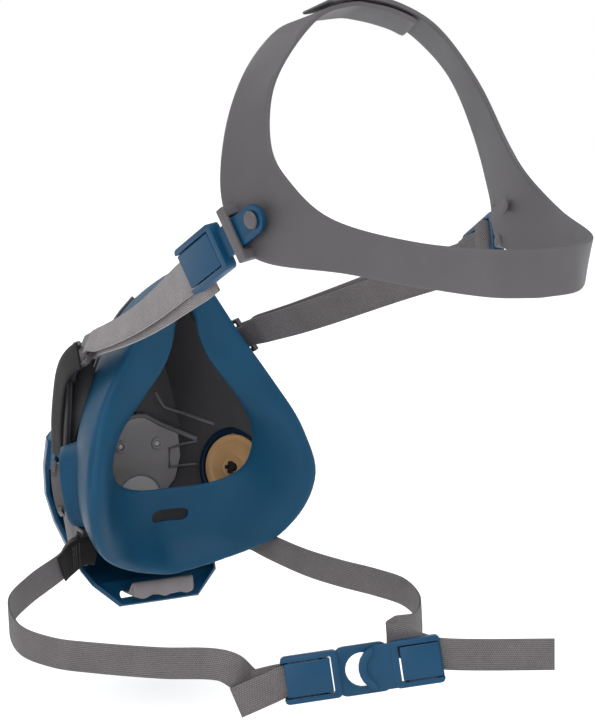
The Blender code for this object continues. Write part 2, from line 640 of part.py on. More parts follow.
def plate(frame, outline, low, high, name="plate", slot="plastic_blue"):
    """A plate in a buckle's own frame, between two levels along its outward direction."""
    centre, along, across, outward = frame
    flip = 1 if along.cross(across).dot(outward) > 0 else -1
    low, high = sorted((low * flip, high * flip))
    return prism(name, outline, centre, along, across, low, high, slot)


def slider(name, frame, low, high, bar):
    """Open slider frame: side rails, a low entry bar, a far wall and a crossbar for the webbing."""
    body = plate(frame, rounded((low, -SLIDER_HALF), (high, SLIDER_HALF), 1.6), 0, 4.2, name)
    near, far = sorted((low, high), key=lambda end: abs(end - bar), reverse=True)
    step = 1 if far > near else -1
    window = rounded(*sorted_box(near + 2.4 * step, far - 2.4 * step, CAM_HALF + 0.5), 0.4)
    combine(body, plate(frame, window, -1, 6), "DIFFERENCE")
    entry = rounded(*sorted_box(near - 1.0 * step, near + 4.0 * step, CAM_HALF + 0.5), 0.4)
    combine(body, plate(frame, entry, 0.9, 6), "DIFFERENCE")
    crossbar = rounded((bar - 0.7, 0.6 - SLIDER_HALF), (bar + 0.7, SLIDER_HALF - 0.6), 0.3)
    return combine(body, plate(frame, crossbar, -0.4, 0.8), "UNION")


def sorted_box(first, second, half):
    """Low and high corners of a box between two places along a slider."""
    return (min(first, second), -half), (max(first, second), half)


def cradle_buckle(side, label):
    """Blue slider of one upper strap, with the pierced tongue that slips under the cradle's bridge."""
    frame = buckle_frame(side)
    body = slider(f"{label}_cradle_buckle", frame, -13.0, 10.5, 4.5)
    tongue = [(8.5, -5)]
    for step in range(9):
        angle = math.radians(-80 + 20 * step)
        tongue.append((STUD_REACH + 4.8 * math.cos(angle), 4.8 * math.sin(angle)))
    tongue.append((8.5, 5))
    combine(body, plate(frame, tongue, 0.5, 2.2), "UNION")
    hole = turned("hole", [(0, -2), (2.6, -2), (2.6, 9), (0, 9)], frame[0] + frame[1] * STUD_REACH, frame[3],
                  "plastic_blue", 20)
    return combine(body, hole, "DIFFERENCE")


def cam_plate(name, frame, low, high):
    """Locking plate of a slider; low and high are its ends along the slider."""
    return plate(frame, rounded((low, -CAM_HALF), (high, CAM_HALF), 0.5), 2.9, 4.1, name)


def pivot_stud(side, label):
    """Grey stud that snaps through the buckle's tongue into the cradle."""
    centre, along, _, outward = buckle_frame(side)
    profile = [(0, -5.9), (2.6, -5.9), (2.6, -5.0), (1.3, -5.0), (1.3, 0.5), (2.2, 0.6), (2.2, 2.6), (3.1, 2.7),
               (2.7, 3.7), (0, 4.2)]
    return turned(f"{label}_pivot_stud", profile, centre + along * STUD_REACH, outward, "cradle_grey", 20)


def head_cradle():
    """One moulded strip: crown strap, side panel, band behind the head, and back up to the crown."""
    steps = 30
    rear, front = spline(CRADLE_REAR, steps), spline(CRADLE_FRONT, steps)
    rows = list(zip(front, rear))
    rows += [(mirrored(a), mirrored(b)) for a, b in reversed(rows[:-1])]
    strip = [(mirrored(a), mirrored(b), -1.0) for a, b in reversed(crown_rows(rows, CROWN_INNER))]
    strip += [(a, b, -fade(a)) for a, b in rows[:steps]]
    strip += [(a, b, fade(a)) for a, b in rows[steps:]]
    strip += [(a, b, 1.0) for a, b in rows[:1] + crown_rows(rows, CROWN_OUTER)]
    lines = [[(a + Z * lift * CROWN_LIFT).lerp(b + Z * lift * CROWN_LIFT, share) for share in (0, 0.5, 1)]
             for a, b, lift in strip]
    cradle = sheet("head_cradle", lines, CRADLE_THICK, "cradle_grey")
    for side in (1, -1):
        centre, along, across, outward = buckle_frame(side)
        levels = [(-9.4, -3.2), (-6.0, -3.2), (-6.0, 2.6), (6.0, 2.6), (6.0, -3.2), (9.4, -3.2), (9.4, 4.2),
                  (-9.4, 4.2)]
        reach = STUD_REACH - 11.2
        rings = [[centre + along * (reach + step) + across * a + outward * n for a, n in levels]
                 for step in (-1.9, 1.9)]
        combine(cradle, loft("bridge", rings, "cradle_grey", wrap=False), "UNION")
        hole = turned("hole", [(0, -6), (1.7, -6), (1.7, 1), (0, 1)], centre + along * STUD_REACH, outward,
                      "cradle_grey", 16)
        combine(cradle, hole, "DIFFERENCE")
    return cradle


def crown_rows(rows, reach):
    """The rows of one crown strap just past the middle, up to a distance from it."""
    leading = []
    for row in rows[1:]:
        if row[0].x > reach:
            break
        leading.append(row)
    return leading


def fade(spot):
    """Share of the crown's lift that is left at this distance from the middle; none behind the head."""
    return min(1.0, max(0.0, (50 - abs(spot.x)) / 20)) if spot.z > CROWN_FOOT else 0.0


# ---- neck strap -------------------------------------------------------------------------------
LEFT_NECK = [(39.4, -37.4, -52.6), (46, -34, -57.2), (66, -20, -61.5), (82, 0, -63.5), (88.5, 25, -66.5), (84, 46, -67),
             (75, 65, -65.5), (60, 86, -64), (44, 102.5, -63)]
RIGHT_NECK = [(-37.2, -31, -53), (-39.4, -17, -55.3), (-42, 10, -57), (-48, 28, -58.5), (-55, 45, -59.5),
              (-57.5, 62, -60), (-50, 84, -60.5), (-36, 103, -60.5)]
NECK_CENTRE = Vector((0, 125, -64.6))
NECK_ALONG = Vector((-0.867, 0.477, 0.1465)).normalized()
NECK_OUT = Vector((0.495, 0.858, 0.139))
NECK_OUT = (NECK_OUT - NECK_ALONG * NECK_OUT.dot(NECK_ALONG)).normalized()
NECK_UP = NECK_OUT.cross(NECK_ALONG)
NECK_FRAME = (NECK_CENTRE, NECK_ALONG, NECK_UP, NECK_OUT)
# Runs of the two strap ends at the buckle, as (towards the wearer's right, up, outward).
LEFT_AT_BUCKLE = [(-40, -1, -2.6), (-31, 0, -1.6), (-24, 0, -1.2), (-18, 0, -1.3), (-15.6, 0, -1.65), (-13.6, 0, -1.3),
                  (-12.75, 0, 0.1), (-13.5, 0, 1.5), (-15.4, 0, 1.95), (-21, 0, 1.95), (-26.5, 0, 1.95),
                  (-29.5, -0.3, 2.1), (-33, -1.4, 2.6), (-46, -4.8, 3.6)]
RIGHT_AT_BUCKLE = [(12.8, 9.6, -9), (10.6, 9.2, -5.2), (9.6, 8.9, -3.3), (9.7, 8.6, -2.2), (11.2, 8.0, -1.6),
                   (15, 6.2, -1.5), (20, 3.6, -1.5), (26, 1.0, -1.5), (40, -1.6, -1.5), (66, -5.3, -1.5)]


def at_neck(place):
    """A point given in the neck buckle's own frame."""
    return NECK_CENTRE + NECK_ALONG * place[0] + NECK_UP * place[1] + NECK_OUT * place[2]


def neck_strap(side, route, ending, label):
    """Loose webbing turned round the yoke's lug bar, round the neck, and through the neck buckle."""
    bar = Vector((NECK_BAR.x * side, NECK_BAR.y, NECK_BAR.z))
    turn = [bar + Vector((-TURN * side, 1.9, 0))]
    for step in range(7):
        angle = math.radians(180 + 30 * step)
        turn.append(bar + Vector((side * TURN * math.cos(angle), TURN * math.sin(angle), 0)))
    ends = [at_neck(place) for place in ending]
    path = turn + spline([turn[-1]] + route + ends[:1], 44)[1:-1] + spline(ends, 44)
    down = Vector((0, 0.1, -1)).normalized()
    return ribbon(f"{label}_neck_strap", path, [down] * len(path), "webbing_grey", 10.6, 1.1)


def neck_buckle_ring():
    """Left half of the neck buckle: slider and the plate with the eye for the hook."""
    body = slider("neck_buckle_ring", NECK_FRAME, -29, -9, -15)
    combine(body, plate(NECK_FRAME, rounded((-10.5, -8.6), (9, 8.6), 3.5, 5), 0.2, 2.4), "UNION")
    eye = [(-1 + 6 * math.cos(math.radians(t)), 6 * math.sin(math.radians(t))) for t in range(0, 360, 15)]
    return combine(body, plate(NECK_FRAME, eye, -1, 4), "DIFFERENCE")


def neck_buckle_hook():
    """Right half of the neck buckle: slider and the flat hook laid over the eye."""
    body = slider("neck_buckle_hook", NECK_FRAME, 9.6, 27, 14)
    arch = [(5.4 + 7.8 * math.cos(math.radians(t)), 7.9 * math.sin(math.radians(t))) for t in range(90, 271, 15)]
    arch += [(12, -7.9), (12, 7.9)]
    hook = plate(NECK_FRAME, arch, 2.8, 4.0)
    lip = [(5.4 + 7.7 * math.cos(math.radians(t)), 7.8 * math.sin(math.radians(t))) for t in range(105, 256, 15)]
    lip += [(6.4 + 6.0 * math.cos(math.radians(t)), 6.2 * math.sin(math.radians(t))) for t in range(240, 119, -15)]
    combine(hook, plate(NECK_FRAME, lip, 3.2, 5.4), "UNION")
    tooth = [(-1.9, -2.4), (0.2, -3), (0.2, 3), (-1.9, 2.4)]
    combine(hook, plate(NECK_FRAME, tooth, 0.7, 3.4), "UNION")
    return combine(body, hook, "UNION")


def main():
    for item in list(bpy.data.objects):
        bpy.data.objects.remove(item)
    face_seal()
    center_adapter()
    exhalation_seat()
    exhalation_flap()
    front_cover()
    harness_yoke()
    quick_latch()
    latch_web()
    head_cradle()
    for side, label in ((1, "left"), (-1, "right")):
        bayonet(side, label)
        inhalation_flap(side, label)
        port_gasket(side, label)
        cover_screw(side, label)
        arm_strap(side, label)
        latch_pin(side, label)
        upper_strap(side, label)
        cradle_buckle(side, label)
        cam_plate(f"{label}_cradle_cam", buckle_frame(side), -12.4, 7.6)
        pivot_stud(side, label)
    neck_strap(1, LEFT_NECK, LEFT_AT_BUCKLE, "left")
    neck_strap(-1, RIGHT_NECK, RIGHT_AT_BUCKLE, "right")
    neck_buckle_ring()
    neck_buckle_hook()
    cam_plate("left_neck_cam", NECK_FRAME, -27.8, -11.8)
    cam_plate("right_neck_cam", NECK_FRAME, 12.6, 26.2)
    for item in bpy.data.objects:
        item.data.transform(Matrix.Scale(MM, 4))


main()
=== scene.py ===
"""Looks of the half-mask respirator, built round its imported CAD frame.

Frame: +Z up from chin to nose, -Y out of the front of the mask, +X the wearer's left.
Shapes are worked out in millimetres and stored in metres.
"""
import math

import bmesh
import bpy
from mathutils import Matrix, Vector


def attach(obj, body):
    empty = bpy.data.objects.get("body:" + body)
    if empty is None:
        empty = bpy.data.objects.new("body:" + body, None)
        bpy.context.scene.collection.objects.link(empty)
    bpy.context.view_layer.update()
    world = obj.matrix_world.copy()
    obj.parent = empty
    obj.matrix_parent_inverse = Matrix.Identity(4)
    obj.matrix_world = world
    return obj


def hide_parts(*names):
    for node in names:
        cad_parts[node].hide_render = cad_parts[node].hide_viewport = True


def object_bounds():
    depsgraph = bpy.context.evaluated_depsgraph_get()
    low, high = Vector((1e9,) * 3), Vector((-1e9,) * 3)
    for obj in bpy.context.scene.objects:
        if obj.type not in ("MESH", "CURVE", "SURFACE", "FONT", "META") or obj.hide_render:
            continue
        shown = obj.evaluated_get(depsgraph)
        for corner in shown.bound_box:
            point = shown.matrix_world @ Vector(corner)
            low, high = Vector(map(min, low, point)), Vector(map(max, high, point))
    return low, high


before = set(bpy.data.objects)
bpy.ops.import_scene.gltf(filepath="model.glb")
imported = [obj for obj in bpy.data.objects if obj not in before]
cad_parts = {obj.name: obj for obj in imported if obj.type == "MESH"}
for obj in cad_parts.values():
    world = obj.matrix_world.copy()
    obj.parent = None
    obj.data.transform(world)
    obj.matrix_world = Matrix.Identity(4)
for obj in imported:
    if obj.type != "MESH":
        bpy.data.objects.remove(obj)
cad_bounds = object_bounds()

MM = 0.001
X, Y, Z = Vector((1, 0, 0)), Vector((0, 1, 0)), Vector((0, 0, 1))
SIDES = ("left", "right")

# ---- driving dimensions, in millimetres ---------------------------------------------------
# Half outlines of the silicone facepiece, nose to chin, on the wearer's left.
LIP_EDGE = [(0, -12, 49.5), (3.9, -11.5, 45), (5.2, -11, 37), (8.4, -10, 28.5), (13.2, -9.2, 21.5),
            (22, -9.5, 10.5), (29.5, -12, -1), (31.5, -14.5, -12), (28.5, -18, -21.5), (17, -23, -27),
            (0, -25, -28)]
LIP_CREST = [(0, -5, 59), (9.5, -9, 45), (22, -8.5, 29), (35, -4, 10), (42.5, 3.5, -6),
             (43, 4.5, -24), (34, -7, -39), (18, -24, -46), (0, -33, -49)]
RIM = [(0, 0, 65), (11, -8, 54), (23, -10.5, 38), (38, -7, 16), (48, 1, -4),
       (51.3, 4.5, -26), (41.3, -4.5, -48), (21, -19, -60), (0, -26.5, -66)]
BODY_REAR = [(0, -17, 65), (11, -21, 52), (22, -23, 37), (35, -21.5, 16), (44.5, -17, -4),
             (46.5, -16, -26), (37, -24, -47), (20, -36, -59), (0, -42, -63)]
BODY_MIDDLE = [(0, -40, 57), (10, -41, 46), (19, -41, 33), (29.5, -39, 15), (37.5, -36, -4),
               (39, -35, -24), (31, -42, -42), (17, -51, -52), (0, -55, -55)]
BODY_FRONT = [(0, -61, 47.5), (8, -61, 39), (14, -61, 28), (20, -61, 13), (24.5, -61, -3),
              (26, -61, -20), (22.5, -61, -34), (13, -61, -43), (0, -61, -46)]
SILICONE = 2.4
RING_STEPS = 30

PORT_CENTRE = Vector((33.1, -33.3, -24.1))
PORT_YAW, PORT_DROP = math.radians(30), math.radians(8)
PORT_AXIS = Vector((math.cos(PORT_YAW) * math.cos(PORT_DROP),
                    -math.sin(PORT_YAW) * math.cos(PORT_DROP), -math.sin(PORT_DROP)))
FLAP_R = 14.0
COLLAR_R, COLLAR_END = 16.6, 10.0
SCREW = Vector((8.6, -62.5, -15.5))
# Lines moulded inside the rigid shell, on its left half.
UPPER_LEDGE = [(9.1, -60.0, 6.4), (11.0, -60.0, 3.2), (13.3, -60.0, -0.4), (20.2, -58.5, -3.0),
               (24.6, -51.1, -4.9), (26.7, -47.5, -5.8), (28.9, -43.5, -6.7)]
LOWER_LEDGE = [(-1, -58.4, -2.7), (3.3, -58.4, -3.1), (11.3, -58.4, -7.7), (19.6, -58.4, -11.5),
               (25.2, -52.2, -14.3)]
POCKET_RIM = [(24.9, -52.4, -25.2), (21.0, -58.2, -26.4), (14.6, -57.8, -26.3), (14.4, -57.8, -18.2),
              (21.2, -58.2, -17.0), (25.3, -52.2, -15.2)]
# The plate raised in the middle of the shell, and the round plate over the exhalation valve.
PLATE_HALF = [(0, -2.9), (3.3, -3.0), (11.2, -7.7), (19.0, -11.4), (20.2, -22), (17.5, -32), (11.5, -38.6),
              (0, -39.8)]
PLATE_CENTRE = Vector((0, -59.6, 0))
VALVE_PLATE_R, VALVE_PLATE_LOW = 9.8, -38.9
SHELL_GAP, SHELL_WALL = 0.6, 2.0

EXHALE_CENTRE = Vector((0, -63.5, -36.6))
EXHALE_AXIS = Vector((0, -0.94, -0.34)).normalized()
EXHALE_R = 7.2

LOOP_BAR = Vector((34.6, -24.9, 33.6))
LOOP_WIDTH, STRAP_SAG, WEB_WIDTH = 9.6, 2.5, 12.0
LOOP_TURN, BUCKLE_TURN, TAIL_SHIFT = 2.6, 1.85, 4.2
PANEL_NORMAL = Vector((0.95, 0.27, -0.12)).normalized()
CRADLE_STUD = Vector((50.9, 141.0, 94.1))
BUCKLE_CENTRE = Vector((53.5, 114.5, 80.5))
STUD_REACH = (CRADLE_STUD - BUCKLE_CENTRE).length
NECK_BAR = Vector((34.4, -38.4, -52.0))
NECK_TURN = 2.9
DOWN = Vector((0, 0.1, -1)).normalized()

# Routes of the left arm's webbing and rib, and the arm's inner side as (height, inner edge, depth).
ARM_ROUTE = [(38.6, -31.0, 29.0), (39.4, -36, 26.8), (40.0, -42, 22.5), (39.8, -46.8, 17), (39.4, -50.3, 10),
             (39.0, -53, 3), (38.8, -54.5, -4), (38.2, -56, -10.5), (37.6, -57, -16.5)]
RIB_ROUTE = [(36.2, -40.5, 27), (36.6, -44.5, 22), (36.8, -47.3, 14), (36.8, -48.6, 4), (36.8, -50.2, -7),
             (36.2, -52.6, -20)]
ARM_INSIDE = [(26, 33.0, -42.5), (22, 23.0, -49.0), (16, 21.8, -52.5), (9, 22.0, -54.0), (2, 26.0, -54.6),
              (-6, 29.0, -55.2), (-14, 31.0, -56.5)]
ARM_OUTER, ARM_HOLLOW = 38.4, 3.0
TAB_ROUTE = [(30.5, -34.6, -53.4), (34.5, -35.0, -52.6), (39.0, -35.0, -53.6), (43.5, -33.6, -56.2),
             (47.5, -31.0, -58.0)]
LATCH_ROUTE = [(0, -53, -73.8), (0, -47, -75.0), (0, -41, -74.8), (0, -37.4, -71.0), (0, -35.8, -69.6),
               (0, -35.0, -70.8), (0, -34.8, -73.0), (0, -34.8, -75.2)]
HEM = 2.4

CRADLE_REAR = [(0, 119, 164.5), (14, 122, 161.5), (27, 127.5, 153), (40, 132, 136), (45.8, 140, 117.5),
               (46, 151.5, 106.5), (43.5, 173.5, 95.5), (32.5, 203, 90), (16, 217, 88.3), (0, 220, 87.8)]
CRADLE_FRONT = [(0, 108, 160.5), (14, 106.5, 158.5), (26, 107.5, 154), (40.5, 113, 139.5), (49.5, 116.5, 119),
                (53, 122, 97), (48.5, 135, 80.8), (42, 182, 79.2), (19, 215, 74.5), (0, 219.5, 73.3)]
CRADLE_THICK, CROWN_LIFT, CROWN_FOOT = 1.6, 1.35, 100
CROWN_INNER, CROWN_OUTER = 27.0, 17.5
# Section of the bridge that holds a cradle buckle, as (across, outward) pairs.
BRIDGE = [(-9.4, -3.2), (-6.0, -3.2), (-6.0, 2.6), (6.0, 2.6), (6.0, -3.2), (9.4, -3.2), (9.4, 4.2),
          (-9.4, 4.2)]
BRIDGE_BACK, BRIDGE_HALF = 11.2, 1.9

LEFT_NECK = [(39.4, -37.4, -52.6), (46, -34, -57.2), (66, -20, -61.5), (82, 0, -63.5), (88.5, 25, -66.5),
             (84, 46, -67), (75, 65, -65.5), (60, 86, -64), (44, 102.5, -63)]
RIGHT_NECK = [(-37.2, -31, -53), (-39.4, -17, -55.3), (-42, 10, -57), (-48, 28, -58.5), (-55, 45, -59.5),
              (-57.5, 62, -60), (-50, 84, -60.5), (-36, 103, -60.5)]
NECK_CENTRE = Vector((0, 125, -64.6))
NECK_ALONG = Vector((-0.867, 0.477, 0.1465)).normalized()
NECK_OUT = Vector((0.495, 0.858, 0.139))
NECK_OUT = (NECK_OUT - NECK_ALONG * NECK_OUT.dot(NECK_ALONG)).normalized()
NECK_UP = NECK_OUT.cross(NECK_ALONG)
LEFT_AT_BUCKLE = [(-40, -1, -2.6), (-31, 0, -1.6), (-24, 0, -1.2), (-18, 0, -1.3), (-15.6, 0, -1.65),
                  (-13.6, 0, -1.3), (-12.75, 0, 0.1), (-13.5, 0, 1.5), (-15.4, 0, 1.95), (-21, 0, 1.95),
                  (-26.5, 0, 1.95), (-29.5, -0.3, 2.1), (-33, -1.4, 2.6), (-46, -4.8, 3.6)]
RIGHT_AT_BUCKLE = [(12.8, 9.6, -9), (10.6, 9.2, -5.2), (9.6, 8.9, -3.3), (9.7, 8.6, -2.2), (11.2, 8.0, -1.6),
                   (15, 6.2, -1.5), (20, 3.6, -1.5), (26, 1.0, -1.5), (40, -1.6, -1.5), (66, -5.3, -1.5)]


# ---- materials ----------------------------------------------------------------------------
# Share of a paler colour mixed in on sharp convex edges.
EDGE_PALING = 0.22


class Nodes:
    """Short way to add and join shader nodes in one material."""

    def __init__(self, name):
        self.made = bpy.data.materials.new(name)
        self.made.use_nodes = True
        self.tree = self.made.node_tree
        self.shader = self.tree.nodes["Principled BSDF"]

    def add(self, kind, **values):
        """A new node; values are its properties or its inputs, with _ for a space."""
        node = self.tree.nodes.new(kind)
        for key, value in values.items():
            if hasattr(node, key):
                setattr(node, key, value)
            else:
                node.inputs[key.replace("_", " ")].default_value = value
        return node

    def join(self, source, target):
        self.tree.links.new(source, target)

    def math(self, operation, first, second=0.0):
        node = self.add("ShaderNodeMath", operation=operation)
        for socket, value in zip(node.inputs, (first, second)):
            if isinstance(value, (int, float)):
                socket.default_value = value
            else:
                self.join(value, socket)
        return node.outputs[0]

    def ramp(self, source, low, high, low_at=0.0, high_at=1.0):
        """A value spread between two numbers or two colours."""
        node = self.add("ShaderNodeValToRGB")
        for stop, place, value in zip(node.color_ramp.elements, (low_at, high_at), (low, high)):
            stop.position = place
            stop.color = (*value, 1) if isinstance(value, tuple) else (value, value, value, 1)
        self.join(source, node.inputs[0])
        return node.outputs[0]

    def bump(self, height, strength, distance, below=None):
        node = self.add("ShaderNodeBump", Strength=strength, Distance=distance)
        self.join(height, node.inputs["Height"])
        if below is not None:
            self.join(below, node.inputs["Normal"])
        return node.outputs[0]


def moulded(name, colour, roughness, grain=0.25, grain_size=0.0006, spread=0.1, specular=0.5):
    """Moulded rubber or plastic: fine grain, slow colour and gloss variation, a paler colour on sharp convex
    edges.
    """
    n = Nodes(name)
    where = n.add("ShaderNodeTexCoord").outputs["Object"]
    fine = n.add("ShaderNodeTexNoise", Scale=1 / grain_size, Detail=3.0, Roughness=0.6)
    slow = n.add("ShaderNodeTexNoise", Scale=38.0, Detail=4.0, Roughness=0.55)
    n.join(where, fine.inputs["Vector"])
    n.join(where, slow.inputs["Vector"])
    dark = tuple(c * (1 - spread) for c in colour)
    light = tuple(min(1, c * (1 + spread)) for c in colour)
    tone = n.ramp(slow.outputs["Fac"], dark, light, 0.3, 0.7)
    edge = n.ramp(n.add("ShaderNodeNewGeometry").outputs["Pointiness"], 0.0, 1.0, 0.52, 0.62)
    mix = n.add("ShaderNodeMix", data_type="RGBA")
    n.join(n.math("MULTIPLY", edge, EDGE_PALING), mix.inputs["Factor"])
    n.join(tone, mix.inputs[6])
    mix.inputs[7].default_value = (*[min(1, c * 1.7 + 0.02) for c in colour], 1)
    n.join(mix.outputs[2], n.shader.inputs["Base Color"])
    gloss = n.ramp(slow.outputs["Fac"], roughness - 0.06, roughness + 0.08, 0.3, 0.7)
    n.join(gloss, n.shader.inputs["Roughness"])
    n.shader.inputs["Specular IOR Level"].default_value = specular
    n.join(n.bump(fine.outputs["Fac"], grain, 0.00012), n.shader.inputs["Normal"])
    return n.made


def woven(name, light, dark, pitch=0.00062):
    """Flat webbing: staggered ribs across the strap and finer yarns along it, from UVs in metres."""
    n = Nodes(name)
    place = n.add("ShaderNodeSeparateXYZ")
    n.join(n.add("ShaderNodeUVMap").outputs["UV"], place.inputs[0])
    along, across = place.outputs["X"], place.outputs["Y"]
    column = n.math("FLOOR", n.math("DIVIDE", across, pitch * 1.1))
    stagger = n.math("MULTIPLY", n.math("MODULO", column, 2.0), 0.5)
    rib = n.math("FRACT", n.math("ADD", n.math("DIVIDE", along, pitch), stagger))
    hump = n.math("SINE", n.math("MULTIPLY", rib, math.pi))
    yarn = n.math("FRACT", n.math("DIVIDE", across, pitch * 1.1))
    ridge = n.math("SINE", n.math("MULTIPLY", yarn, math.pi))
    height = n.math("MULTIPLY", n.math("POWER", hump, 0.6), n.math("POWER", ridge, 0.5))
    where = n.add("ShaderNodeTexCoord").outputs["Object"]
    fuzz = n.add("ShaderNodeTexNoise", Scale=1900.0, Detail=3.0, Roughness=0.7)
    slow = n.add("ShaderNodeTexNoise", Scale=90.0, Detail=3.0)
    n.join(where, fuzz.inputs["Vector"])
    n.join(where, slow.inputs["Vector"])
    blend = n.math("ADD", n.math("MULTIPLY", height, 0.62),
                   n.math("ADD", n.math("MULTIPLY", fuzz.outputs["Fac"], 0.55),
                          n.math("MULTIPLY", slow.outputs["Fac"], 0.20)))
    n.join(n.ramp(blend, dark, light, 0.38, 0.96), n.shader.inputs["Base Color"])
    n.shader.inputs["Roughness"].default_value = 0.88
    n.shader.inputs["Sheen Weight"].default_value = 0.08
    n.shader.inputs["Specular IOR Level"].default_value = 0.2
    n.shader.inputs["Sheen Roughness"].default_value = 0.5
    normal = n.bump(height, 0.5, 0.00016)
    n.join(n.bump(fuzz.outputs["Fac"], 0.25, 0.0001, normal), n.shader.inputs["Normal"])
    return n.made


SILICONE_BLUE = moulded("silicone_blue", (0.0050, 0.050, 0.104), 0.48, 0.2, 0.0005, 0.10, 0.16)
# A darker copy of the silicone blue: painted shade on the silicone wall round each inhalation valve.
SILICONE_PAINTED_SHADE = moulded("silicone_painted_shade", (0.0025, 0.014, 0.034), 0.5, 0.2, 0.0005, 0.10, 0.15)
HARD_BLUE = moulded("hard_blue", (0.0032, 0.046, 0.104), 0.34, 0.12, 0.0007, 0.08, 0.24)
FRAME_GREY = moulded("frame_grey", (0.058, 0.054, 0.058), 0.40, 0.3, 0.0006, 0.10, 0.35)
CUP_DARK = moulded("cup_dark", (0.064, 0.062, 0.067), 0.46, 0.4, 0.0005, 0.12, 0.30)
COVER_DARK = moulded("cover_dark", (0.020, 0.019, 0.021), 0.46, 0.4, 0.0005, 0.12, 0.30)
PLATE_GREY = moulded("plate_grey", (0.330, 0.318, 0.330), 0.46, 0.4, 0.0005, 0.10, 0.30)
# Paler than the dark shell the ledges are moulded on: painted highlight along the ledges.
LEDGE_HIGHLIGHT = moulded("ledge_highlight", (0.160, 0.153, 0.162), 0.42, 0.3, 0.0005, 0.10, 0.35)
SEAT_LIGHT = moulded("seat_light", (0.600, 0.590, 0.620), 0.40, 0.2, 0.0006, 0.06, 0.35)
CRADLE_GREY = moulded("cradle_grey", (0.087, 0.082, 0.088), 0.47, 0.5, 0.00045, 0.07, 0.28)
VALVE_TAN = moulded("valve_tan", (0.540, 0.320, 0.150), 0.42, 0.2, 0.0006, 0.10, 0.30)
RUBBER_BLACK = moulded("rubber_black", (0.010, 0.010, 0.012), 0.5, 0.3, 0.0006, 0.15, 0.30)
WEB_LIGHT = woven("web_light", (0.315, 0.292, 0.300), (0.036, 0.033, 0.035))
# A darker copy of the light webbing: painted shade on the right upper strap and on the neck straps.
WEB_HALF_SHADE = woven("web_half_shade", (0.178, 0.164, 0.168), (0.032, 0.029, 0.031))
# A much darker copy of the light webbing: painted shade on the arm webbing and on the neck strap ends.
WEB_DEEP_SHADE = woven("web_deep_shade", (0.014, 0.0133, 0.0143), (0.004, 0.0037, 0.004))


# ---- modelling helpers --------------------------------------------------------------------
def curve_point(a, b, c, d, t):
    """The point a share t of the way from b to c on the smooth curve through four points."""
    return 0.5 * (2 * b + (c - a) * t + (2 * a - 5 * b + 4 * c - d) * t ** 2
                  + (3 * b - a - 3 * c + d) * t ** 3)


def spline(points, count):
    """Points spread evenly by length along a smooth curve through the given points."""
    knots = [Vector(point) for point in points]
    knots = [knots[0] * 2 - knots[1]] + knots + [knots[-1] * 2 - knots[-2]]
    dense = []
    for a, b, c, d in zip(knots, knots[1:], knots[2:], knots[3:]):
        dense += [curve_point(a, b, c, d, step / 16) for step in range(16)]
    dense.append(knots[-2])
    return resample(dense, count)


def resample(dense, count):
    """The same polyline with evenly spread points, ends kept."""
    reach = [0.0]
    for a, b in zip(dense, dense[1:]):
        reach.append(reach[-1] + (b - a).length)
    result, place = [], 0
    for step in range(count):
        want = reach[-1] * step / (count - 1)
        while place < len(dense) - 2 and reach[place + 1] < want:
            place += 1
        span = reach[place + 1] - reach[place]
        share = (want - reach[place]) / span if span else 0
        result.append(dense[place].lerp(dense[place + 1], share))
    return result


def mirrored(point):
    """The same point on the wearer's other side."""
    return Vector((-point[0], point[1], point[2]))


def full_ring(half, steps=RING_STEPS):
    """A closed symmetric outline from a half one that starts and ends at X = 0."""
    left = spline(half, steps)
    left[0].x = left[-1].x = 0
    return left + [mirrored(point) for point in reversed(left[1:-1])]


def make(name, points, faces, material, levels=0, bevel=0.0):
    """A smooth mesh object from points in millimetres."""
    shape = bmesh.new()
    corners = [shape.verts.new(Vector(point) * MM) for point in points]
    for face in faces:
        shape.faces.new([corners[index] for index in face])
    bmesh.ops.recalc_face_normals(shape, faces=shape.faces)
    mesh = bpy.data.meshes.new(name)
    shape.to_mesh(mesh)
    shape.free()
    item = bpy.data.objects.new(name, mesh)
    bpy.context.scene.collection.objects.link(item)
    finish(item, material, levels, bevel)
    return item


def finish(item, material, levels=0, bevel=0.0):
    """Give an object its material, smooth shading and edge treatment."""
    item.data.materials.clear()
    item.data.materials.append(material)
    if bevel:
        step = item.modifiers.new("bevel", "BEVEL")
        step.width = bevel * MM
        step.segments = 3
        step.limit_method = "ANGLE"
        step.angle_limit = math.radians(32)
        step.harden_normals = False
    if levels:
        step = item.modifiers.new("smooth", "SUBSURF")
        step.levels = step.render_levels = levels
    if bevel or levels:
        apply(item)
    item.data.shade_smooth()
    item.data.set_sharp_from_angle(angle=math.radians(38))


def apply(item):
    """Turn an object's modifiers into its mesh."""
    bpy.context.view_layer.update()
    graph = bpy.context.evaluated_depsgraph_get()
    mesh = bpy.data.meshes.new_from_object(item.evaluated_get(graph))
    item.modifiers.clear()
    item.data = mesh


def combine(target, tool, operation):
    """Join or cut the target with a tool, and remove the tool; done in millimetres to stay robust."""
    grow, shrink = Matrix.Scale(1 / MM, 4), Matrix.Scale(MM, 4)
    target.data.transform(grow)
    tool.data.transform(grow)
    step = target.modifiers.new(operation, "BOOLEAN")
    step.operation = operation
    step.object = tool
    apply(target)
    target.data.transform(shrink)
    bpy.data.objects.remove(tool)
    target.data.shade_smooth()
    target.data.set_sharp_from_angle(angle=math.radians(38))
    return target


def place(item, body, slot, *nodes):
    """Put a piece on a body and hide the CAD nodes it stands for; the slot is not used."""
    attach(item, body)
    if nodes:
        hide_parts(*nodes)
    return item


def loft(name, rings, material, wrap=True, **treatment):
    """A skin over closed rings; wrap joins the last ring to the first, else both ends are filled."""
    size = len(rings[0])
    points = [point for ring in rings for point in ring]
    faces = []
    for row in range(len(rings) if wrap else len(rings) - 1):
        here, there = row * size, (row + 1) % len(rings) * size
        for index in range(size):
            after = (index + 1) % size
            faces.append((here + index, here + after, there + after, there + index))
    if not wrap:
        faces += [tuple(range(size)), tuple(range((len(rings) - 1) * size, len(rings) * size))]
    return make(name, points, faces, material, **treatment)


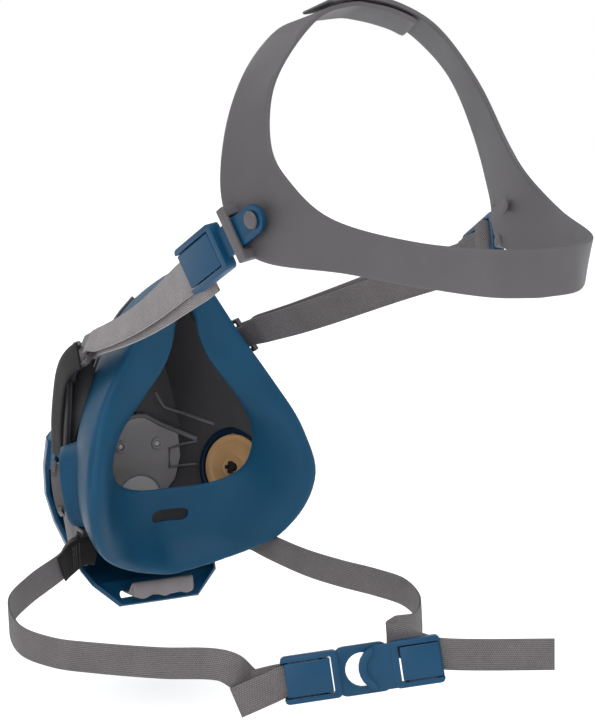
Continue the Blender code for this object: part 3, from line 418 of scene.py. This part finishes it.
def turned(name, profile, centre, axis, material, steps=72, **treatment):
    """A turned solid: profile is a closed loop of (radius, height along the axis)."""
    axis = axis.normalized()
    side = axis.orthogonal().normalized()
    other = axis.cross(side)
    points, places = [], []
    for radius, height in profile:
        if radius == 0:
            places.append([len(points)] * steps)
            points.append(centre + axis * height)
            continue
        places.append(list(range(len(points), len(points) + steps)))
        for step in range(steps):
            angle = 2 * math.pi * step / steps
            points.append(centre + axis * height
                          + (side * math.cos(angle) + other * math.sin(angle)) * radius)
    faces = []
    for row in range(len(profile)):
        here, there = places[row], places[(row + 1) % len(profile)]
        for index in range(steps):
            after = (index + 1) % steps
            face = tuple(dict.fromkeys((here[index], here[after], there[after], there[index])))
            if len(face) > 2:
                faces.append(face)
    return make(name, points, faces, material, **treatment)


def prism(name, outline, centre, along, across, low, high, material, **treatment):
    """A flat plate: outline is (along, across) pairs, low and high are its faces on the normal."""
    normal = along.cross(across).normalized()
    flat = [centre + along * a + across * b for a, b in outline]
    rings = [[point + normal * level for point in flat] for level in (low, high)]
    return loft(name, rings, material, wrap=False, **treatment)


def rounded(low, high, radius, steps=5):
    """A rectangle with round corners, as (along, across) pairs."""
    corners = [(high[0], high[1], 0), (low[0], high[1], 90), (low[0], low[1], 180), (high[0], low[1], 270)]
    outline = []
    for along, across, start in corners:
        inward_a = -radius if along == high[0] else radius
        inward_b = -radius if across == high[1] else radius
        for step in range(steps + 1):
            angle = math.radians(start + 90 * step / steps)
            outline.append((along + inward_a + radius * math.cos(angle),
                            across + inward_b + radius * math.sin(angle)))
    return outline


def sheet(name, rows, thick, material, levels=1):
    """A shell of even wall from rows of points, its edges rounded by subdivision."""
    columns, count = len(rows[0]), len(rows)
    ups = []
    for r in range(count):
        line = []
        for c in range(columns):
            down = rows[min(r + 1, count - 1)][c] - rows[max(r - 1, 0)][c]
            side = rows[r][min(c + 1, columns - 1)] - rows[r][max(c - 1, 0)]
            line.append(down.cross(side).normalized() * (thick / 2))
        ups.append(line)
    cells = [(r, c) for r in range(count - 1) for c in range(columns - 1)]
    lookup, points, faces, edges = {}, [], [], {}

    def corner(r, c, face):
        key = (r, c, face)
        if key not in lookup:
            lookup[key] = len(points)
            points.append(rows[r][c] + ups[r][c] * face)
        return lookup[key]

    for r, c in cells:
        cell = [(r, c), (r, c + 1), (r + 1, c + 1), (r + 1, c)]
        for face in (1, -1):
            faces.append([corner(*spot, face) for spot in cell])
        for a, b in zip(cell, cell[1:] + cell[:1]):
            edge = frozenset((a, b))
            edges[edge] = None if edge in edges else (a, b)
    for border in edges.values():
        if border:
            a, b = border
            faces.append([corner(*a, 1), corner(*b, 1), corner(*b, -1), corner(*a, -1)])
    return make(name, points, faces, material, levels=levels)


def webbing(name, path, across, material, width=WEB_WIDTH, thick=1.1, columns=4):
    """Flat woven strap along a path, with rolled edges and UVs in metres for its weave."""
    widths = width if isinstance(width, list) else [width] * len(path)
    half = thick / 2
    flat_run = [(2 * step / columns - 1, 1.0) for step in range(1, columns)]
    upper = [(-1.0, 0.0), (-0.985, 0.62), (-0.95, 0.95)] + flat_run + [(0.95, 0.95), (0.985, 0.62)]
    section = upper + [(-a, -b) for a, b in upper]
    size = len(section)
    shape = bmesh.new()
    uv = shape.loops.layers.uv.new("weave")
    rings, reach, run = [], [], 0.0
    for index, point in enumerate(path):
        ahead = (path[min(index + 1, len(path) - 1)] - path[max(index - 1, 0)]).normalized()
        wide = across[index] - ahead * across[index].dot(ahead)
        wide.normalize()
        flat = ahead.cross(wide).normalized()
        if index:
            run += (point - path[index - 1]).length
        reach.append(run * MM)
        rings.append([shape.verts.new((point + wide * a * widths[index] / 2 + flat * b * half) * MM)
                      for a, b in section])
    for row in range(len(rings) - 1):
        for index in range(size):
            after = (index + 1) % size
            spots = ((row, index), (row, after), (row + 1, after), (row + 1, index))
            face = shape.faces.new([rings[r][i] for r, i in spots])
            for corner, (r, i) in zip(face.loops, spots):
                corner[uv].uv = (reach[r], (section[i][0] + 1) * widths[r] / 2 * MM)
    for ring, row in ((rings[0], 0), (rings[-1], -1)):
        face = shape.faces.new(ring)
        for corner, spot in zip(face.loops, section):
            corner[uv].uv = (reach[row] + spot[1] * half * MM, (spot[0] + 1) * widths[row] / 2 * MM)
    bmesh.ops.recalc_face_normals(shape, faces=shape.faces)
    mesh = bpy.data.meshes.new(name)
    shape.to_mesh(mesh)
    shape.free()
    mesh.materials.append(material)
    mesh.shade_smooth()
    mesh.set_sharp_from_angle(angle=math.radians(60))
    item = bpy.data.objects.new(name, mesh)
    bpy.context.scene.collection.objects.link(item)
    return item


def polished(node, material, bevel=0.3):
    """A copy of a CAD node's mesh with its flat faces joined and its edges rounded."""
    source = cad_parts[node]
    mesh = source.data.copy()
    shape = bmesh.new()
    shape.from_mesh(mesh)
    bmesh.ops.remove_doubles(shape, verts=shape.verts, dist=0.00001)
    bmesh.ops.dissolve_limit(shape, angle_limit=math.radians(1.5), verts=shape.verts, edges=shape.edges)
    shape.to_mesh(mesh)
    shape.free()
    item = bpy.data.objects.new(f"{node}_skin", mesh)
    bpy.context.scene.collection.objects.link(item)
    finish(item, material, bevel=bevel)
    return item


def inset_ring(ring, depth, forward=0.0):
    """The ring moved towards the mask's own axis by a wall depth, and forward along -Y."""
    moved = []
    for point in ring:
        middle = Vector((0, point.y, -4 if abs(point.x) > 1e-6 or point.z < 0 else 8))
        inward = (middle - point).normalized()
        moved.append(point + inward * depth + Vector((0, -forward, 0)))
    return moved


def port(side):
    """Centre and outward axis of one inhalation port."""
    centre, axis = PORT_CENTRE.copy(), PORT_AXIS.copy()
    return (centre, axis) if side > 0 else (mirrored(centre), mirrored(axis))


# ---- facepiece ----------------------------------------------------------------------------
def facepiece():
    """Silicone facepiece: soft lip, rolled rim and cheek walls on a fine smooth grid."""
    lip, crest, rim = full_ring(LIP_EDGE), full_ring(LIP_CREST), full_ring(RIM)
    rear, middle, front = full_ring(BODY_REAR), full_ring(BODY_MIDDLE), full_ring(BODY_FRONT)
    back = Vector((0, 1.6, 0))
    roll = [a.lerp(b, 0.75) + back for a, b in zip(crest, rim)]
    outside = [lip, crest, roll, rim, rear, middle, front]
    inside = [inset_ring(front, SILICONE), inset_ring(middle, SILICONE), inset_ring(rear, SILICONE),
              inset_ring(rim, SILICONE, 4.5), inset_ring(crest, 1.0, 2.6),
              [point + Vector((0, -1.5, 0)) for point in lip]]
    outer_lines = [spline([ring[index] for ring in outside], 26) for index in range(len(lip))]
    inner_lines = [spline([ring[index] for ring in inside], 14) for index in range(len(lip))]
    rings = [[line[row] for line in outer_lines] for row in range(26)]
    rings += [[line[row] for line in inner_lines] for row in range(14)]
    seal = loft("facepiece", rings, SILICONE_BLUE, levels=1)
    slot = prism("chin_slot", rounded((-8.4, -2.7), (8.4, 2.7), 2.6), Vector((0, -33, -40.5)), X, Z, -9, 9,
                 SILICONE_BLUE)
    combine(seal, slot, "DIFFERENCE")
    for side in (1, -1):
        centre, axis = port(side)
        bore = [(0, -9), (COLLAR_R - 2.0, -9), (COLLAR_R - 2.0, 14), (0, 14)]
        combine(seal, turned("bore", bore, centre, axis, SILICONE_BLUE), "DIFFERENCE")
    return place(seal, "mask", "silicone_blue", "face_seal")


def collar(side, label):
    """Flared silicone collar round one filter port, rounded at its mouth."""
    centre, axis = port(side)
    profile = [(COLLAR_R + 1.6, 1.5), (COLLAR_R + 0.8, 4.5), (COLLAR_R + 0.2, 7.5), (COLLAR_R, 9.2),
               (COLLAR_R - 0.35, 9.8), (COLLAR_R - 1.0, COLLAR_END), (COLLAR_R - 1.7, 9.8),
               (COLLAR_R - 2.0, 9.2), (COLLAR_R - 2.0, 1.5)]
    ring = turned(f"{label}_collar", profile, centre, axis, SILICONE_BLUE)
    return place(ring, "mask", "silicone_blue")


def nose_cup():
    """Dark rigid inner shell that carries the valves, open towards the face."""
    halves = (BODY_REAR, BODY_MIDDLE, BODY_FRONT)
    outer = [inset_ring(full_ring(half), SILICONE + SHELL_GAP) for half in halves]
    outer[0] = [a.lerp(b, 0.42) for a, b in zip(outer[0], outer[1])]
    inner = [inset_ring(ring, SHELL_WALL) for ring in outer]
    flange = inset_ring(full_ring(BODY_FRONT), -0.5, 0.95)
    front = [point + Vector((0, -1.2, 0)) for point in flange]
    neck = [point + Vector((0, -0.95, 0)) for point in outer[2]]
    rings = [front, flange, neck, outer[2], outer[1], outer[0], inner[0], inner[1],
             [point + Vector((0, 0.8, 0)) for point in inner[2]]]
    shell = loft("nose_cup", rings, CUP_DARK, wrap=False)
    for side in (1, -1):
        centre, axis = port(side)
        hole = [(0, -9), (FLAP_R + 2.2, -9), (FLAP_R + 2.2, 12), (0, 12)]
        combine(shell, turned("hole", hole, centre, axis, CUP_DARK), "DIFFERENCE")
    hole = [(0, -9), (EXHALE_R + 0.6, -9), (EXHALE_R + 0.6, 9), (0, 9)]
    combine(shell, turned("hole", hole, EXHALE_CENTRE, EXHALE_AXIS, CUP_DARK), "DIFFERENCE")
    place(shell, "mask", "plastic_dark", "center_adapter")
    cup_details()


def cup_details():
    """Raised plate, ledges and screw bosses inside the rigid shell."""
    outline = PLATE_HALF + [(-x, z) for x, z in reversed(PLATE_HALF[1:-1])]
    plate = prism("centre_plate", outline, PLATE_CENTRE, X, Z, -1.3, 0.4, PLATE_GREY, bevel=0.35)
    arc = []
    for degrees in range(6, 175, 8):
        angle = math.radians(degrees)
        arc.append((VALVE_PLATE_R * math.cos(angle), VALVE_PLATE_LOW + VALVE_PLATE_R * math.sin(angle)))
    groove = [(x * 1.09, z + 0.9) for x, z in arc]
    groove[0], groove[-1] = (groove[0][0], arc[0][1]), (groove[-1][0], arc[-1][1])
    combine(plate, prism("groove", groove, PLATE_CENTRE, X, Z, -3, -0.5, PLATE_GREY), "DIFFERENCE")
    place(plate, "mask", "plastic_dark")
    seat = prism("valve_plate", arc, PLATE_CENTRE, X, Z, -1.9, 0.5, SEAT_LIGHT, bevel=0.4)
    place(seat, "mask", "plastic_light")
    boss_profile = [(1.2, -0.6), (2.7, -0.6), (2.5, 1.3), (2.1, 1.6), (1.6, 1.5), (1.2, 0.6)]
    tip_profile = [(0, -0.4), (1.1, -0.4), (1.1, 0.9), (0.8, 1.2), (0, 1.2)]
    for side in (1, -1):
        centre = Vector((SCREW.x * side, PLATE_CENTRE.y + 1.2, SCREW.z))
        place(turned("boss", boss_profile, centre, Y, PLATE_GREY, steps=40), "mask", "plastic_dark")
        place(turned("screw_tip", tip_profile, centre, Y, SEAT_LIGHT, steps=32), "mask", "plastic_light")
        for name, line, size in (("upper_ledge", UPPER_LEDGE, 0.7), ("lower_ledge", LOWER_LEDGE, 1.1),
                                 ("pocket_rim", POCKET_RIM, 0.6)):
            path = [Vector((x * side, y, z)) for x, y, z in line]
            # The ledges are drawn pale as a painted highlight.
            place(rod(name, path, size, LEDGE_HIGHLIGHT), "mask", "plastic_dark")


def rod(name, path, radius, material, sides=8):
    """A round bar along a path."""
    rings = []
    for index, point in enumerate(path):
        ahead = (path[min(index + 1, len(path) - 1)] - path[max(index - 1, 0)]).normalized()
        across = ahead.cross(Vector((0.12, 0.31, 0.94))).normalized()
        other = ahead.cross(across)
        angles = [2 * math.pi * step / sides for step in range(sides)]
        rings.append([point + (across * math.cos(angle) + other * math.sin(angle)) * radius
                      for angle in angles])
    return loft(name, rings, material, wrap=False)


def port_surround(side, label):
    """Silicone ring round one inhalation valve, darkened with painted shade, and the black nub that holds its
    disc.
    """
    centre, axis = port(side)
    profile = [(FLAP_R + 0.35, -0.6), (FLAP_R + 0.6, -1.5), (FLAP_R + 1.2, -1.9), (FLAP_R + 2.4, -1.7),
               (FLAP_R + 3.0, -0.9), (FLAP_R + 3.0, 0.3), (FLAP_R + 0.35, 0.3)]
    ring = turned(f"{label}_valve_surround", profile, centre, axis, SILICONE_PAINTED_SHADE)
    place(ring, "mask", "silicone_blue")
    up = (Z - axis * Z.dot(axis)).normalized()
    around = axis.cross(up)
    upright, level = rounded((-2.6, -0.9), (2.6, 0.9), 0.6), rounded((-0.9, -2.4), (0.9, 2.4), 0.6)
    nub = prism("nub", upright, centre, up, around, -3.9, -2.4, RUBBER_BLACK, bevel=0.2)
    cross = prism("nub", level, centre, up, around, -3.8, -2.45, RUBBER_BLACK, bevel=0.2)
    combine(nub, cross, "UNION")
    stem_profile = [(0, -2.8), (1.5, -2.8), (1.5, 0.2), (0, 0.2)]
    stem = turned("stem", stem_profile, centre, axis, RUBBER_BLACK, steps=32)
    combine(nub, stem, "UNION")
    nub.name = f"{label}_valve_nub"
    place(nub, "mask", "plastic_dark")


def bayonet(label):
    """Bayonet ring of one filter port, with valve seat, spider, stud and lugs."""
    ring = polished(f"{label}_bayonet", FRAME_GREY, 0.25)
    return place(ring, "mask", "plastic_grey", f"{label}_bayonet")


def inlet_flap(side, label):
    """Tan valve disc with a raised rim and a shallow ring."""
    centre, axis = port(side)
    profile = [(1.9, -0.7), (4.6, -0.7), (5.0, -0.9), (5.4, -0.7), (10.4, -0.6), (10.9, -0.75), (11.3, -1.05),
               (FLAP_R - 0.8, -1.05), (FLAP_R - 0.2, -0.9), (FLAP_R, -0.5), (FLAP_R, 0.0), (1.9, 0.0)]
    disc = turned(f"{label}_valve_disc", profile, centre, axis, VALVE_TAN)
    return place(disc, f"{label}_inlet_valve", "valve_tan", f"{label}_inhalation_flap")


# ---- straps and buckles -------------------------------------------------------------------
def upper_strap_frame():
    """Start, along and across directions of the left upper strap."""
    along = (BUCKLE_CENTRE - LOOP_BAR).normalized()
    upright = (Z * -1 + along * along.z).normalized()
    outward = along.cross(upright)
    tilt = math.radians(-28)
    return LOOP_BAR, along, upright * math.cos(tilt) + outward * math.sin(tilt)


def buckle_frame(side):
    """Centre and directions of a cradle buckle: towards the stud, across, outward."""
    along = (CRADLE_STUD - BUCKLE_CENTRE).normalized()
    outward = (PANEL_NORMAL - along * along.dot(PANEL_NORMAL)).normalized()
    across = along.cross(outward)
    centre = BUCKLE_CENTRE.copy()
    if side < 0:
        return tuple(mirrored(item) for item in (centre, along, across, outward))
    return centre, along, across, outward


def upper_strap(side, label):
    """Webbing doubled back through the yoke bar, its outer run turned round the buckle's bar."""
    start, along, across = upper_strap_frame()
    normal = along.cross(across)
    normal = normal if normal.x > 0 else -normal
    centre, towards, wide, outward = buckle_frame(1)
    wide = wide if wide.dot(across) > 0 else -wide

    def near_bar(distance, height):
        return start + along * distance + normal * height, across, LOOP_WIDTH if distance < 8 else WEB_WIDTH

    def near_buckle(distance, height):
        return centre + towards * distance + outward * height, wide, WEB_WIDTH

    def between(share, height):
        first, last = near_bar(14, 0)[0], near_buckle(-16, 0)[0]
        sag = STRAP_SAG * math.sin(math.pi * share)
        flat = normal.lerp(outward, share).normalized()
        return first.lerp(last, share) + flat * (height - sag), across.lerp(wide, share), WEB_WIDTH

    def under(station, shift):
        return station[0] + wide * shift, station[1], station[2]

    def round_bar(station, turn, middle, degrees):
        angle = math.radians(degrees)
        return station(middle[0] + turn * math.cos(angle), middle[1] + turn * math.sin(angle))

    inner = [under(near_buckle(-9, -3.4), TAIL_SHIFT), under(near_buckle(-16, -3.3), TAIL_SHIFT)]
    inner += [under(between(share, -2.0 - 0.9 * share), TAIL_SHIFT * share) for share in (0.8, 0.6, 0.4, 0.2)]
    inner += [near_bar(13, -1.9), near_bar(5, 0.1 - LOOP_TURN)]
    inner += [round_bar(near_bar, LOOP_TURN, (0, 0), degrees) for degrees in range(270, 80, -30)]
    outer = [near_bar(5, LOOP_TURN - 0.1), near_bar(13, 0.9)]
    outer += [between(share, 0.5 - 1.6 * share) for share in (0.2, 0.4, 0.6, 0.8)]
    outer += [near_buckle(-16, -1.4), near_buckle(-12.5, -1.1), near_buckle(-8, -0.7), near_buckle(-3, 0.9),
              near_buckle(2.5, 2.0)]
    outer += [round_bar(near_buckle, BUCKLE_TURN, (4.5, 0.15), degrees) for degrees in range(80, -91, -34)]
    outer.append(near_buckle(1.5, -1.7))
    path, flats, widths = thickened(inner + outer, 6)
    if side < 0:
        path, flats = [mirrored(point) for point in path], [mirrored(flat) for flat in flats]
    # The right strap's webbing carries painted shade.
    strap = webbing(f"{label}_head_strap", path, flats, WEB_LIGHT if side > 0 else WEB_HALF_SHADE, widths)
    return place(strap, "head_harness", "webbing_grey", f"{label}_upper_strap")


def thickened(stations, share):
    """More stations along a smooth curve through the given ones: path, across directions, widths."""
    path, flats, widths = [], [], []
    knots = [stations[0]] + stations + [stations[-1]]
    for a, b, c, d in zip(knots, knots[1:], knots[2:], knots[3:]):
        for step in range(share):
            t = step / share
            path.append(curve_point(a[0], b[0], c[0], d[0], t))
            flats.append(b[1].lerp(c[1], t))
            widths.append(b[2] + (c[2] - b[2]) * t)
    path.append(stations[-1][0])
    flats.append(stations[-1][1])
    widths.append(stations[-1][2])
    return path, flats, widths


def arm_strap(side, label):
    """Webbing down the outer side of one yoke arm, darkened with painted shade, with the arm's rounded rear
    rib beside it.
    """
    path, rib = spline(ARM_ROUTE, 72), spline(RIB_ROUTE, 40)
    last = len(path) - 1
    flats = [X.cross(path[min(index + 1, last)] - path[max(index - 1, 0)]).normalized()
             for index in range(len(path))]
    if side < 0:
        path = [mirrored(point) for point in path]
        flats = [mirrored(flat) for flat in flats]
        rib = [mirrored(point) for point in rib]
    strap = webbing(f"{label}_arm_webbing", path, flats, WEB_DEEP_SHADE, 11.0, 1.0)
    place(strap, "mask", "webbing_dark", f"{label}_arm_strap")
    place(rod(f"{label}_arm_rib", rib, 1.25, FRAME_GREY, 12), "mask", "plastic_grey")


def arm_web(side, label):
    """Hollowed inner side of one yoke arm, between its webbing and the facepiece."""
    rows = []
    for height, inner, depth in ARM_INSIDE:
        row = []
        for share in (0, 0.2, 0.4, 0.6, 0.8, 1):
            x = (ARM_OUTER + (inner - ARM_OUTER) * share) * side
            row.append(Vector((x, depth - ARM_HOLLOW * math.sin(math.pi * share), height)))
        rows.append(row)
    place(sheet(f"{label}_arm_web", rows, 1.2, FRAME_GREY), "mask", "plastic_grey")


def strap_end(side, label):
    """Doubled and stitched end of the neck strap, lying behind the yoke's lug, its webbing darkened with
    painted shade.
    """
    path = spline(TAB_ROUTE, 40)
    if side < 0:
        path = [mirrored(point) for point in path]
    tab = webbing(f"{label}_strap_tab", path, [DOWN] * len(path), WEB_DEEP_SHADE, 11.4, 1.0)
    place(tab, "neck_harness", "webbing_dark")
    for row in range(4):
        spot = path[round((0.42 + 0.055 * row) * (len(path) - 1))]
        seam = [spot + DOWN * (-4.4 + 0.8 * step) + Y * (0.75 + 0.18 * (step % 2)) for step in range(12)]
        place(rod(f"{label}_tab_seam_{row + 1}", seam, 0.2, WEB_LIGHT, 6), "neck_harness", "webbing_grey")


def latch_tab():
    """Wide webbing tab through the slot of the pull plate, its lower hem cut in soft scallops."""
    path = spline(LATCH_ROUTE, 60)
    web = webbing("latch_webbing", path, [X] * len(path), WEB_LIGHT, 28.0, 1.1, columns=32)
    low = min(vertex.co.z for vertex in web.data.vertices) / MM
    for vertex in web.data.vertices:
        near = max(0.0, 1 - (vertex.co.z / MM - low) / HEM)
        vertex.co.z -= near * MM * (0.4 + 0.9 * math.cos(vertex.co.x / MM * 0.62 + 0.4))
    place(web, "latch", "webbing_grey", "latch_web")


def at_neck(spot):
    """A point given in the neck buckle's own frame."""
    return NECK_CENTRE + NECK_ALONG * spot[0] + NECK_UP * spot[1] + NECK_OUT * spot[2]


def neck_strap(side, route, ending, label):
    """Loose webbing turned round the yoke's lug bar, round the neck, and through the neck buckle."""
    bar = Vector((NECK_BAR.x * side, NECK_BAR.y, NECK_BAR.z))
    turn = [bar + Vector((-NECK_TURN * side, 1.9, 0))]
    for step in range(13):
        angle = math.radians(180 + 15 * step)
        turn.append(bar + Vector((side * math.cos(angle), math.sin(angle), 0)) * NECK_TURN)
    ends = [at_neck(spot) for spot in ending]
    path = turn + spline([turn[-1]] + route + ends[:1], 150)[1:-1] + spline(ends, 130)
    widths = [10.4 + 0.8 * min(1.0, max(0.0, (index - 16) / 16)) for index in range(len(path))]
    # The neck webbing carries painted shade.
    strap = webbing(f"{label}_neck_webbing", path, [DOWN] * len(path), WEB_HALF_SHADE, widths)
    return place(strap, "neck_harness", "webbing_grey", f"{label}_neck_strap")


def cradle():
    """Moulded head cradle: crown straps, side panels and the band behind the head."""
    steps = 60
    rear, front = spline(CRADLE_REAR, steps), spline(CRADLE_FRONT, steps)
    rows = list(zip(front, rear))
    rows += [(mirrored(a), mirrored(b)) for a, b in reversed(rows[:-1])]
    strip = [(mirrored(a), mirrored(b), -1.0) for a, b in reversed(crown_rows(rows, CROWN_INNER))]
    strip += [(a, b, -fade(a)) for a, b in rows[:steps]]
    strip += [(a, b, fade(a)) for a, b in rows[steps:]]
    strip += [(a, b, 1.0) for a, b in rows[:1] + crown_rows(rows, CROWN_OUTER)]
    shares = (0, 0.03, 0.25, 0.5, 0.75, 0.97, 1)
    lines = []
    for a, b, lift in strip:
        raised = Z * lift * CROWN_LIFT
        lines.append([(a + raised).lerp(b + raised, share) for share in shares])
    band = sheet("cradle_band", lines, CRADLE_THICK, CRADLE_GREY)
    for side in (1, -1):
        centre, along, across, outward = buckle_frame(side)
        foot = centre + along * (STUD_REACH - BRIDGE_BACK)
        rings = [[foot + along * step + across * a + outward * n for a, n in BRIDGE]
                 for step in (-BRIDGE_HALF, BRIDGE_HALF)]
        combine(band, loft("bridge", rings, CRADLE_GREY, wrap=False, bevel=0.5), "UNION")
    return place(band, "head_harness", "cradle_grey", "head_cradle")


def crown_rows(rows, reach):
    """The rows of one crown strap just past the middle, up to a distance from it."""
    leading = []
    for row in rows[1:]:
        if row[0].x > reach:
            break
        leading.append(row)
    return leading


def fade(spot):
    """Share of the crown's lift that is left at this distance from the middle; none behind the head."""
    return min(1.0, max(0.0, (50 - abs(spot.x)) / 20)) if spot.z > CROWN_FOOT else 0.0


# ---- stage --------------------------------------------------------------------------------
def stage():
    """Pale floor, soft studio lights and the camera."""
    low = cad_bounds[0][2]
    mesh = bpy.data.meshes.new("floor")
    mesh.from_pydata([(-6, -6, 0), (6, -6, 0), (6, 6, 0), (-6, 6, 0)], [], [(0, 1, 2, 3)])
    floor = bpy.data.objects.new("floor", mesh)
    floor.location.z = low - 0.05
    bpy.context.scene.collection.objects.link(floor)
    n = Nodes("pale_floor")
    n.shader.inputs["Base Color"].default_value = (0.95, 0.95, 0.95, 1)
    n.shader.inputs["Emission Color"].default_value = (1, 1, 1, 1)
    n.shader.inputs["Emission Strength"].default_value = 0.25
    n.shader.inputs["Roughness"].default_value = 0.9
    mesh.materials.append(n.made)

    world = bpy.data.worlds.new("studio")
    world.use_nodes = True
    tree = world.node_tree
    soft = tree.nodes["Background"]
    soft.inputs["Color"].default_value = (0.98, 0.99, 1, 1)
    soft.inputs["Strength"].default_value = 0.50
    white = tree.nodes.new("ShaderNodeBackground")
    white.inputs["Color"].default_value = (1, 1, 1, 1)
    seen = tree.nodes.new("ShaderNodeLightPath")
    mix = tree.nodes.new("ShaderNodeMixShader")
    tree.links.new(seen.outputs["Is Camera Ray"], mix.inputs["Fac"])
    tree.links.new(soft.outputs[0], mix.inputs[1])
    tree.links.new(white.outputs[0], mix.inputs[2])
    tree.links.new(mix.outputs[0], tree.nodes["World Output"].inputs["Surface"])
    bpy.context.scene.world = world

    target = Vector((0.0, 0.07, 0.03))
    sky = bpy.data.lights.new("overhead", "SUN")
    sky.energy = 1.9
    sky.angle = math.radians(60)
    add_light(sky, (0.35, 0.75, 1.5), target)
    for name, spot, size, power in (("key", (0.9, 1.1, 0.5), 0.7, 4.5),
                                    ("fill", (-1.1, 0.9, 0.3), 0.9, 1.7),
                                    ("front", (0.2, -1.2, 0.6), 0.9, 2.8)):
        light = bpy.data.lights.new(name, "AREA")
        light.shape = "DISK"
        light.size = size
        light.energy = power
        add_light(light, spot, target)

    azimuth, elevation, distance = math.radians(150), math.radians(8), 0.750
    back = Vector((math.sin(azimuth), -math.cos(azimuth), math.tan(elevation))).normalized()
    right = back.cross(Z).normalized() * -1
    up = back.cross(right).normalized()
    # The camera looks a little to the right of the origin and above it.
    aside, above = 0.039, 0.028
    place_at = back * distance + right * aside + up * above
    camera = bpy.data.objects.new("camera", bpy.data.cameras.new("camera"))
    camera.data.lens = 93.75
    camera.data.sensor_width = camera.data.sensor_height = 36
    camera.data.sensor_fit = "AUTO"
    camera.data.clip_start = 0.01
    camera.location = place_at
    camera.matrix_world = Matrix.Translation(place_at) @ Matrix((right, up, back)).transposed().to_4x4()
    bpy.context.scene.collection.objects.link(camera)
    bpy.context.scene.camera = camera
    bpy.context.scene.view_settings.view_transform = "Standard"


def add_light(light, spot, target):
    """Put a light at a place, facing a target."""
    item = bpy.data.objects.new(light.name, light)
    item.location = spot
    item.rotation_euler = (target - Vector(spot)).to_track_quat("-Z", "Y").to_euler()
    bpy.context.scene.collection.objects.link(item)


def skins():
    """Polished skins over the moulded parts, and materials on the small parts shown as they are."""
    parts = [("quick_latch", HARD_BLUE, "latch", "plastic_blue"),
             ("harness_yoke", FRAME_GREY, "mask", "plastic_grey"),
             ("neck_buckle_ring", HARD_BLUE, "neck_harness", "plastic_blue"),
             ("neck_buckle_hook", HARD_BLUE, "neck_harness", "plastic_blue")]
    parts += [(f"{label}_cradle_buckle", HARD_BLUE, "head_harness", "plastic_blue") for label in SIDES]
    for strap in ("cradle", "neck"):
        parts += [(f"{label}_{strap}_cam", HARD_BLUE, f"{label}_{strap}_lock", "plastic_blue")
                  for label in SIDES]
    parts += [(f"{label}_pivot_stud", CRADLE_GREY, "head_harness", "cradle_grey") for label in SIDES]
    for node, material, body, slot in parts:
        place(polished(node, material), body, slot, node)
    shown = [("exhalation_seat", SEAT_LIGHT), ("exhalation_flap", RUBBER_BLACK), ("front_cover", COVER_DARK)]
    for label in SIDES:
        shown += [(f"{label}_port_gasket", RUBBER_BLACK), (f"{label}_latch_pin", FRAME_GREY),
                  (f"{label}_cover_screw", SEAT_LIGHT)]
    for node, material in shown:
        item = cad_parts[node]
        item.data.materials.clear()
        item.data.materials.append(material)


def main():
    """Build the stage and every piece."""
    stage()
    facepiece()
    nose_cup()
    for side, label in zip((1, -1), SIDES):
        collar(side, label)
        bayonet(label)
        inlet_flap(side, label)
        port_surround(side, label)
        arm_strap(side, label)
        arm_web(side, label)
        strap_end(side, label)
        upper_strap(side, label)
    neck_strap(1, LEFT_NECK, LEFT_AT_BUCKLE, "left")
    neck_strap(-1, RIGHT_NECK, RIGHT_AT_BUCKLE, "right")
    cradle()
    latch_tab()
    skins()
    bpy.context.view_layer.update()


main()
